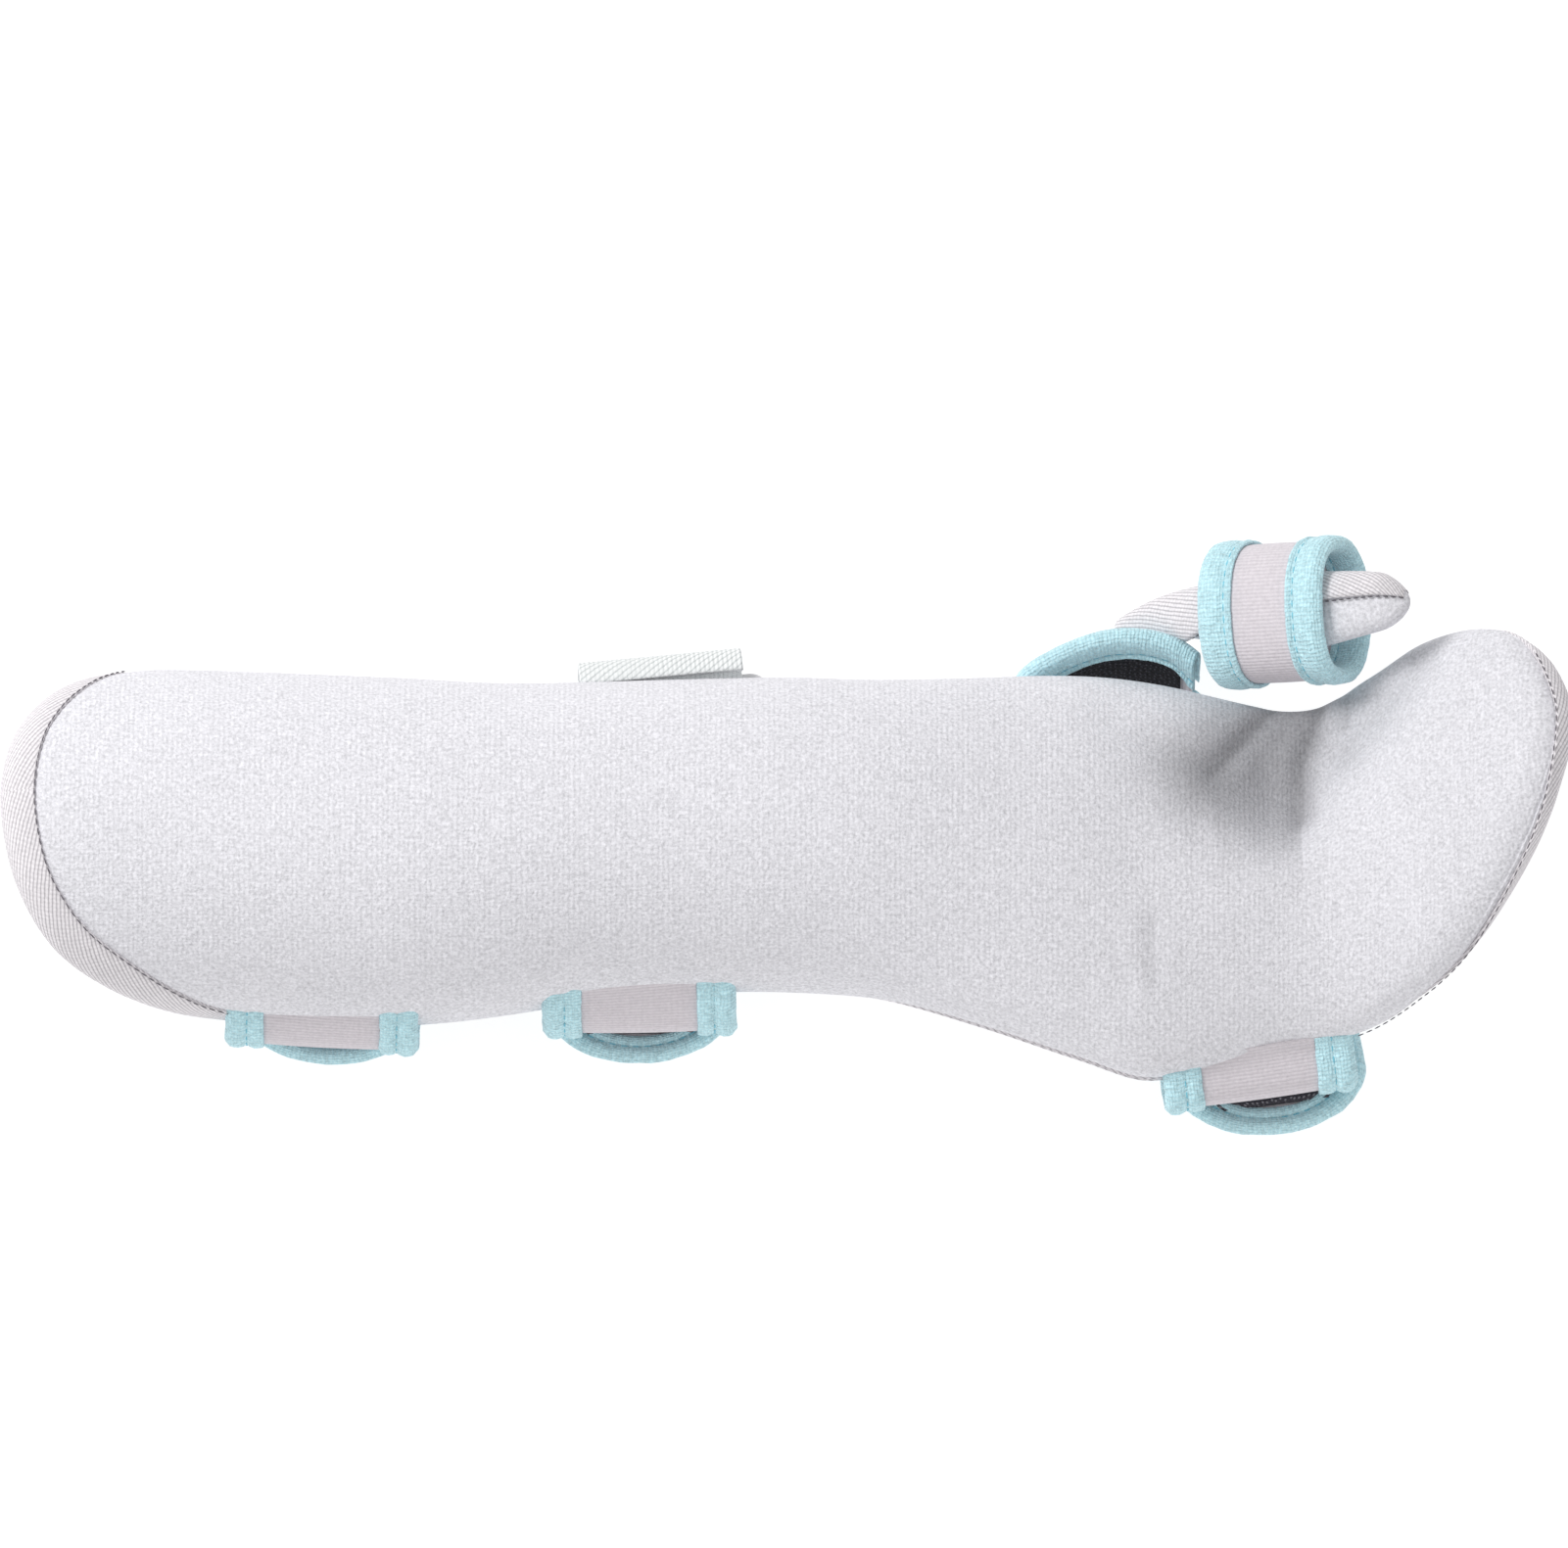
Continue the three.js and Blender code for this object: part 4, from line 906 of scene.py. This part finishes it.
def makeStrap(name, strap):
    origin, across, along = planFrame(strap["middle"], strap["turn"])
    points = []
    for spot in evenly(strapPath(strap), strapCloth["spacing"]):
        under = spot.y < (strapCloth["lowerLayer"] + strapCloth["upperLayer"]) / 2
        back = (strap["bar"] - spot.x) / (strap["bar"] - strap["wall"]) if under else 0
        points.append(origin + along * spot.x + up * spot.y + across * (strap["drift"] * max(back, 0)))
    frames = stripFrames(points, across)
    stations = stripStations(frames, strapCloth["width"], strapCloth["tip"])
    for station in stations:
        station["thin"] = lerp(0.25, 1, ease(station["run"] / strapCloth["sewnEnd"]))
        twist = math.radians(strap["twist"]) * (1 - ease(station["run"] / strapCloth["twistEnd"]))
        station["across"] = across * math.cos(twist) + along * math.sin(twist)
    web = gridPiece(name + "_strap_web", webRings(stations, across, strapCloth["web"], strapCloth["puff"]),
                    "strapFabric")
    mount(web, "strap_fabric", name + "_strap")
    path = edgePath(stations, across, strapCloth)
    makeBinding(name + "_strap_edge", name + "_strap_binding", path, strapCloth, [fineNap, broadNap])
    bm = bmesh.new()
    bindingSeam(bm, path, strapCloth)
    mount(newObject(name + "_strap_stitches", bm, "blueThread"), "blue_binding")
    lift = strapCloth["web"] / 2 + hookPad["gap"] + hookPad["thick"] / 2
    hookRows = []
    whole, last = frames[-1]["run"], hookPad["rows"] - 1
    for k in range(hookPad["rows"]):
        run = lerp(whole - hookPad["start"], whole - hookPad["end"], k / last)
        spot = frameAt(frames, run)
        inTip = max(run - whole + strapCloth["tip"], 0) / strapCloth["tip"]
        half = strapCloth["width"] / 2 * math.sqrt(1 - inTip * inTip) - hookPad["margin"]
        hookRows.append({**spot, "point": spot["point"] + up * lift, "half": min(half, hookPad["width"] / 2)})
    hook = gridPiece(name + "_strap_hook_pad", webRings(hookRows, across, hookPad["thick"], 0), "hookFabric")
    mount(hook, "hook_fabric", name + "_strap_hook")


for name, strap in straps.items():
    makeStrap(name, strap)
print("straps made:", ", ".join(straps))


# flat rings and webbing loops
ringShape = {"width": 68, "length": 30, "bar": 4, "thick": 1.5, "corner": 3, "height": 5.1}
webbing = {"thick": 1.3, "rib": 1.2, "ribHeight": 0.12, "bulge": 2.2, "spacing": 1.2}
loops = {
    "forearm": {"middle": (87, 41.132), "turn": -2, "width": 40, "top": 27, "wall": 45.464, "bar": 28.464,
                "side": 0, "inside": 14.4},
    "wrist": {"middle": (171.7, 44.184), "turn": 5.5, "width": 42, "top": 30, "wall": 42.795, "bar": 44.295,
              "side": -6, "inside": 0},
    "hand": {"middle": (310, 32.951), "turn": -6, "width": 24, "top": 19, "wall": 50.763, "bar": 28.763,
             "side": 0, "inside": 20.4},
}


def loopPath(loop):
    bar, top, height = loop["bar"], loop["top"], ringShape["height"]
    wrap = ringShape["thick"] / 2 + 0.4 + webbing["thick"] / 2
    back = arc((bar - 2, height), wrap, -90, -270, 14)
    if loop["inside"]:
        near = loop["wall"] - loop["inside"]
        line = [Vector((near, top))]
        line += bezier([(near, height + 8), (near + 2, height + 4), (bar + 6, height - wrap),
                        (bar + 3, height - wrap)], 14)
        line += back
        line += bezier([(bar, height + wrap), (bar, height + wrap), (near - 2.2, height + 4),
                        (near - 2.2, height + 9)], 12)
        return line + [Vector((near - 2.2, top - 2))]
    near = loop["wall"] + 1.2 + webbing["thick"] / 2
    far = near + webbing["thick"] + webbing["bulge"]
    line = bezier([(loop["wall"] - 2.4, top + 1.4), (near + webbing["bulge"], top + 0.4), (far, top - 5),
                   (far, top - 12)], 16)
    line += bezier([(far, top - 12), (far, height + 6), (bar + 7, height - wrap),
                    (bar + 3, height - wrap)], 16)
    line += back
    line += bezier([(bar - 2, height + wrap), (bar + 1, height + wrap), (near, height + 4),
                    (near, height + 12)], 14)
    return line + [Vector((near, height + 15))]


def webbingRings(frames, across, width):
    columns = int(width / webbing["rib"]) * 4
    rings = []
    for f in frames:
        def at(k, face):
            rib = 0.5 - 0.5 * math.cos(math.pi * k / 2)
            edge = 0.25 if k in (0, columns) else 1
            rise = (webbing["thick"] / 2 * edge - webbing["ribHeight"] + webbing["ribHeight"] * rib) * face
            return f["point"] + across * (width * (k / columns - 0.5)) + f["normal"] * rise
        rings.append([at(k, 1) for k in range(columns + 1)] + [at(k, -1) for k in range(columns, -1, -1)])
    return rings


def makeLoop(name, loop):
    origin, across, along = planFrame(loop["middle"], loop["turn"])
    flat = evenly(loopPath(loop), webbing["spacing"])
    points = [origin + along * spot.x + up * spot.y for spot in flat]
    folded = webbingRings(stripFrames(points, across), across, loop["width"])
    strip = gridPiece(name + "_loop_webbing", folded, "ribbedWebbing")
    mount(strip, "ribbed_webbing", name + "_ring_loop")
    corner, bar = ringShape["corner"], ringShape["bar"]
    x, y = ringShape["width"] / 2 - bar / 2 - corner, ringShape["length"] / 2 - bar / 2 - corner
    line = []
    for k, (cx, cy) in enumerate([(x, y), (-x, y), (-x, -y), (x, -y)]):
        line += arc((cx, cy), corner, 90 * k, 90 * k + 90, 8)
    middle = loop["bar"] - ringShape["length"] / 2 + bar / 2
    rings = []
    for i, spot in enumerate(line):
        ahead = line[(i + 1) % len(line)] - line[i - 1]
        out = Vector((ahead.y, -ahead.x)).normalized()
        sideways = across * (loop["side"] + spot.x)
        centre = origin + along * (middle + spot.y) + sideways + up * ringShape["height"]
        ring = []
        for k in range(16):
            turn = 2 * math.pi * k / 16
            reach = math.copysign(abs(math.cos(turn)) ** 0.5, math.cos(turn)) * bar / 2
            rise = math.copysign(abs(math.sin(turn)) ** 0.5, math.sin(turn)) * ringShape["thick"] / 2
            ring.append(centre + (across * out.x + along * out.y) * reach + up * rise)
        rings.append(ring)
    ring = gridPiece(name + "_ring_moulded", rings, "whitePlastic", closedPath=True)
    mount(ring, "white_plastic", name + "_ring")


for name, loop in loops.items():
    makeLoop(name, loop)
print("rings and loops made")


# thumb stay
thumbColumns = ("x", "y", "z", "height", "depth")
thumbRows = [
    (285, 99.6, 12, 3.6, 3.2),
    (297, 102.6, 20, 5, 4.0),
    (311, 100.8, 31.5, 7.6, 4.6),
    (326, 97.6, 42, 10, 4.8),
    (347, 97.6, 52.5, 7.8, 4.8),
    (359, 97.6, 58, 5.6, 4.3),
]
thumbTable = [dict(zip(thumbColumns, row)) for row in thumbRows]
thumbPath = [Vector(row[:3]) for row in thumbRows]
thumbPad = {"around": 36, "rows": 64, "fullness": 2.5, "shrink": 0.2, "swell": 0.5,
            "pressure": 4.0, "frames": 20}
gusset = {"clear": 0.35, "thick": 0.8, "start": 0.012, "end": 0.985, "back": -55, "seamStart": 175,
          "seamEnd": 78, "rows": 46, "turns": 14}
gussetStitch = {"spacing": 2.0, "length": 1.6, "thick": 0.42}
viewUp = Vector((0, math.sin(math.radians(75)), math.cos(math.radians(75))))


def curvePoint(points, share):
    last = len(points) - 1
    i = min(max(int(share * last), 0), last - 1)
    t = share * last - i
    b, c = points[i], points[i + 1]
    a = points[i - 1] if i > 0 else 2 * points[0] - points[1]
    d = points[i + 2] if i + 2 <= last else 2 * points[last] - points[last - 1]
    ab, bc, cd = (b - a).length ** 0.5, (c - b).length ** 0.5, (d - c).length ** 0.5
    start = ((b - a) / ab - (c - a) / (ab + bc) + (c - b) / bc) * bc
    end = ((c - b) / bc - (d - b) / (bc + cd) + (d - c) / cd) * bc
    square, cube = 3 * (c - b) - 2 * start - end, 2 * (b - c) + start + end
    return b + start * t + square * t * t + cube * t ** 3


def thumbFrame(share):
    along = (curvePoint(thumbPath, share + 1e-4) - curvePoint(thumbPath, share - 1e-4)).normalized()
    front = along.cross(viewUp).normalized()
    return curvePoint(thumbPath, share), along, front.cross(along).normalized(), front


def roundPower(value, fullness):
    return math.copysign(abs(value) ** (2 / fullness), value)


def thumbPoint(share, angle, clear):
    point, along, rise, front = thumbFrame(share)
    swell = math.sqrt(1 - max((share - 0.86) / 0.14, 0) ** 2)
    base = math.sqrt(1 - max((0.05 - share) / 0.05, 0) ** 2)
    part = min(swell, base)
    height = columnAt(thumbTable, "height", point.x) * part + clear
    depth = columnAt(thumbTable, "depth", point.x) * part + clear
    fullness = thumbPad["fullness"]
    lift = rise * (roundPower(math.cos(angle), fullness) * height)
    return point + lift + front * (roundPower(math.sin(angle), fullness) * depth)


def makeThumbStay():
    around, rows = thumbPad["around"], thumbPad["rows"]
    padRings = []
    for k in range(rows + 1):
        share = 0.5 - 0.5 * math.cos(math.pi * k / rows)
        padRings.append([thumbPoint(share, 2 * math.pi * (i + 0.5) / around, 0) for i in range(around)])
    pad = gridPiece("thumb_pad_cloth", padRings, "knitFabric")
    puff(pad, thumbPad, [1.0] * len(pad.data.vertices))
    subdivided(pad)
    mount(pad, "knit_fabric", "thumb_pad")
    rings, seam, normals = [], [], []
    steps = gusset["turns"]
    for k in range(gusset["rows"]):
        share = lerp(gusset["start"], gusset["end"], k / (gusset["rows"] - 1))
        front = math.radians(lerp(gusset["seamStart"], gusset["seamEnd"], ease((share - 0.2) / 0.3)))
        back = math.radians(gusset["back"])
        turns = [lerp(back, front, i / steps) for i in range(steps + 1)]
        close = ease((1 - share) / 0.12)
        outer = [thumbPoint(share, turn, (gusset["clear"] + gusset["thick"]) * close) for turn in turns]
        inner = [thumbPoint(share, turn, gusset["clear"] * close) for turn in reversed(turns)]
        rings.append(outer + inner)
        point = thumbPoint(share, front + 0.05, gusset["clear"] * close + 0.2)
        seam.append(point)
        normals.append((point - thumbFrame(share)[0]).normalized())
    cover = gridPiece("thumb_gusset", rings, "twillTape", pivot=7)
    mount(cover, "twill_tape", "thumb_binding")
    bm = bmesh.new()
    stitchRow(bm, seam, normals, gussetStitch)
    mount(newObject("thumb_gusset_stitches", bm, "darkThread"), "twill_tape")


makeThumbStay()
print("thumb stay made")


# band round the thumb stay
thumbBand = {"middle": (327.1, 100.2, 36.5), "up": 16.9, "front": 13.9, "fullness": 2.42, "width": 35,
             "axis": (0.889, -0.073, 0.452), "web": 1.6, "puff": 0.2, "reach": 8.5, "gap": 0.2, "thick": 0.95,
             "groove": 6.6}


def makeThumbBand():
    axis = Vector(thumbBand["axis"]).normalized()
    front = axis.cross(viewUp).normalized()
    rise = front.cross(axis).normalized()
    middle = Vector(thumbBand["middle"])

    def loopPoint(turn):
        return (middle + rise * (roundPower(math.cos(turn), thumbBand["fullness"]) * thumbBand["up"])
                + front * (roundPower(math.sin(turn), thumbBand["fullness"]) * thumbBand["front"]))

    line = [loopPoint(2 * math.pi * (k + 0.5) / 720) for k in range(720)]
    points = evenly(line + line[:1], 1.0)[:-1]
    stations = []
    half = thumbBand["width"] / 2 - 1.1
    for i, point in enumerate(points):
        along = (points[(i + 1) % len(points)] - points[i - 1]).normalized()
        stations.append({"point": point, "normal": along.cross(axis).normalized(), "half": half})
    rings = webRings(stations, axis, thumbBand["web"], thumbBand["puff"])
    web = gridPiece("thumb_strap_web", rings, "strapFabric", closedPath=True)
    mount(web, "strap_fabric", "thumb_strap")
    bm = bmesh.new()
    for side, label in ((-1, "inner"), (1, "outer")):
        path = [(s["point"] + axis * (side * half), axis * side, s["normal"], 1) for s in stations]
        node = "thumb_strap_edge_" + label
        makeBinding("thumb_strap_bound_" + label, node, path, thumbBand, [fineNap], closed=True)
        bindingSeam(bm, path, thumbBand, closed=True)
    mount(newObject("thumb_strap_stitches", bm, "blueThread"), "blue_binding")


makeThumbBand()
print("thumb band made")


# arched tab that carries the thumb stay
thumbTab = {"width": 22, "tip": 32, "lean": 23.5, "web": 1.8, "puff": 0.0, "reach": 8.2, "gap": 0.2,
            "thick": 0.95, "groove": 6.4, "tipLap": 1, "lowLap": 0.5, "hookThick": 0.8, "hookMargin": 5.4,
            "hookLow": 2.4, "hookStart": 4}
tabPath = [(305, 86.8, 14.8), (300, 90, 16.4), (293, 92.2, 17.2), (286, 92.8, 17), (279, 92.3, 16.2),
           (270, 90.3, 14.8), (259, 87.5, 13)]


def makeTab():
    lean = math.radians(thumbTab["lean"])
    across = Vector((0, math.sin(lean), math.cos(lean)))
    corners = [Vector(spot) for spot in tabPath]
    points = evenly([curvePoint(corners, k / 60) for k in range(61)], 0.9)
    frames = stripFrames(points, across)
    stations = stripStations(frames, thumbTab["width"], thumbTab["tip"])
    inside = [station for station in stations if station["run"] > 1.5]
    rings = webRings(inside, across, thumbTab["web"], thumbTab["puff"])
    web = gridPiece("thumb_tab_web", rings, "strapFabric")
    mount(web, "strap_fabric", "thumb_tab")
    # the two edges meet at the short end
    for station in stations:
        station["lap"] = lerp(1.36, 1, ease(station["run"] / 8))
    path = edgePath(stations, across, thumbTab)
    makeBinding("thumb_tab_edge", "thumb_tab_binding", path, thumbTab, [fineNap])
    bm = bmesh.new()
    bindingSeam(bm, path, thumbTab)
    mount(newObject("thumb_tab_stitches", bm, "blueThread"), "blue_binding")
    clear = thumbTab["web"] / 2 + hookPad["gap"] + thumbTab["hookThick"] / 2
    rows = []
    for station in stations:
        half = station["half"] - thumbTab["hookMargin"]
        if station["run"] > thumbTab["hookStart"] and half > 0.8:
            inward = -1 if station["normal"].y > 0 else 1
            spot = station["point"] + station["normal"] * (inward * clear) - across * thumbTab["hookLow"]
            rows.append({**station, "point": spot, "half": half})
    hook = gridPiece("thumb_tab_hook_pad", webRings(rows, across, thumbTab["hookThick"], 0), "blackHook")
    mount(hook, "black_hook", "thumb_tab_hook")


makeTab()
print("thumb tab made")


# camera, floor and studio light
view = {"elevation": 75, "lens": 600, "across": 0.40025, "centre": (-0.00076, 0.02073), "height": 0.04}
studio = {"world": 0.57, "floor": srgb(170, 170, 170), "floorGlow": 0.78}
lamps = {
    "key": {"energy": 14.5, "size": 0.5, "spot": (-0.85, 0.55, 1.2)},
    "fill": {"energy": 2.5, "size": 0.7, "spot": (0.1, -1.45, 0.65)},
}


def makeStage():
    tilt = math.radians(view["elevation"])
    back = Vector((0, -math.cos(tilt), math.sin(tilt)))
    high = Vector((0, math.sin(tilt), math.cos(tilt)))
    camera = bpy.data.cameras.new("camera")
    camera.lens = view["lens"]
    camera.clip_end = 100
    eye = linked("camera", camera)
    distance = view["across"] * view["lens"] / camera.sensor_width
    depth = view["height"] * back.z
    eye.location = Vector((view["centre"][0], 0, 0)) + high * view["centre"][1] + back * (distance + depth)
    eye.rotation_euler = (math.radians(90) - tilt, 0, 0)
    bpy.context.scene.camera = eye

    bm = bmesh.new()
    bmesh.ops.create_grid(bm, x_segments=1, y_segments=1, size=8)
    mesh = bpy.data.meshes.new("floor")
    bm.to_mesh(mesh)
    bm.free()
    floor = linked("floor", mesh)
    floor.location.z = -0.0005
    paint = bpy.data.materials.new("paleFloor")
    paint.use_nodes = True
    shader = paint.node_tree.nodes["Principled BSDF"]
    shader.inputs["Base Color"].default_value = studio["floor"]
    shader.inputs["Roughness"].default_value = 0.9
    shader.inputs["Specular IOR Level"].default_value = 0.1
    shader.inputs["Emission Color"].default_value = (1, 1, 1, 1)
    shader.inputs["Emission Strength"].default_value = studio["floorGlow"]
    mesh.materials.append(paint)

    world = bpy.data.worlds.new("studio")
    bpy.context.scene.world = world
    world.use_nodes = True
    world.node_tree.nodes["Background"].inputs[0].default_value = (1, 1, 1, 1)
    world.node_tree.nodes["Background"].inputs[1].default_value = studio["world"]
    for label, values in lamps.items():
        lamp = bpy.data.lights.new(label, "AREA")
        lamp.energy, lamp.size = values["energy"], values["size"]
        light = linked(label, lamp)
        light.location = values["spot"]
        light.rotation_euler = (-light.location).to_track_quat("-Z", "Y").to_euler()
    bpy.context.scene.view_settings.view_transform = "Standard"


makeStage()
print("stage set")
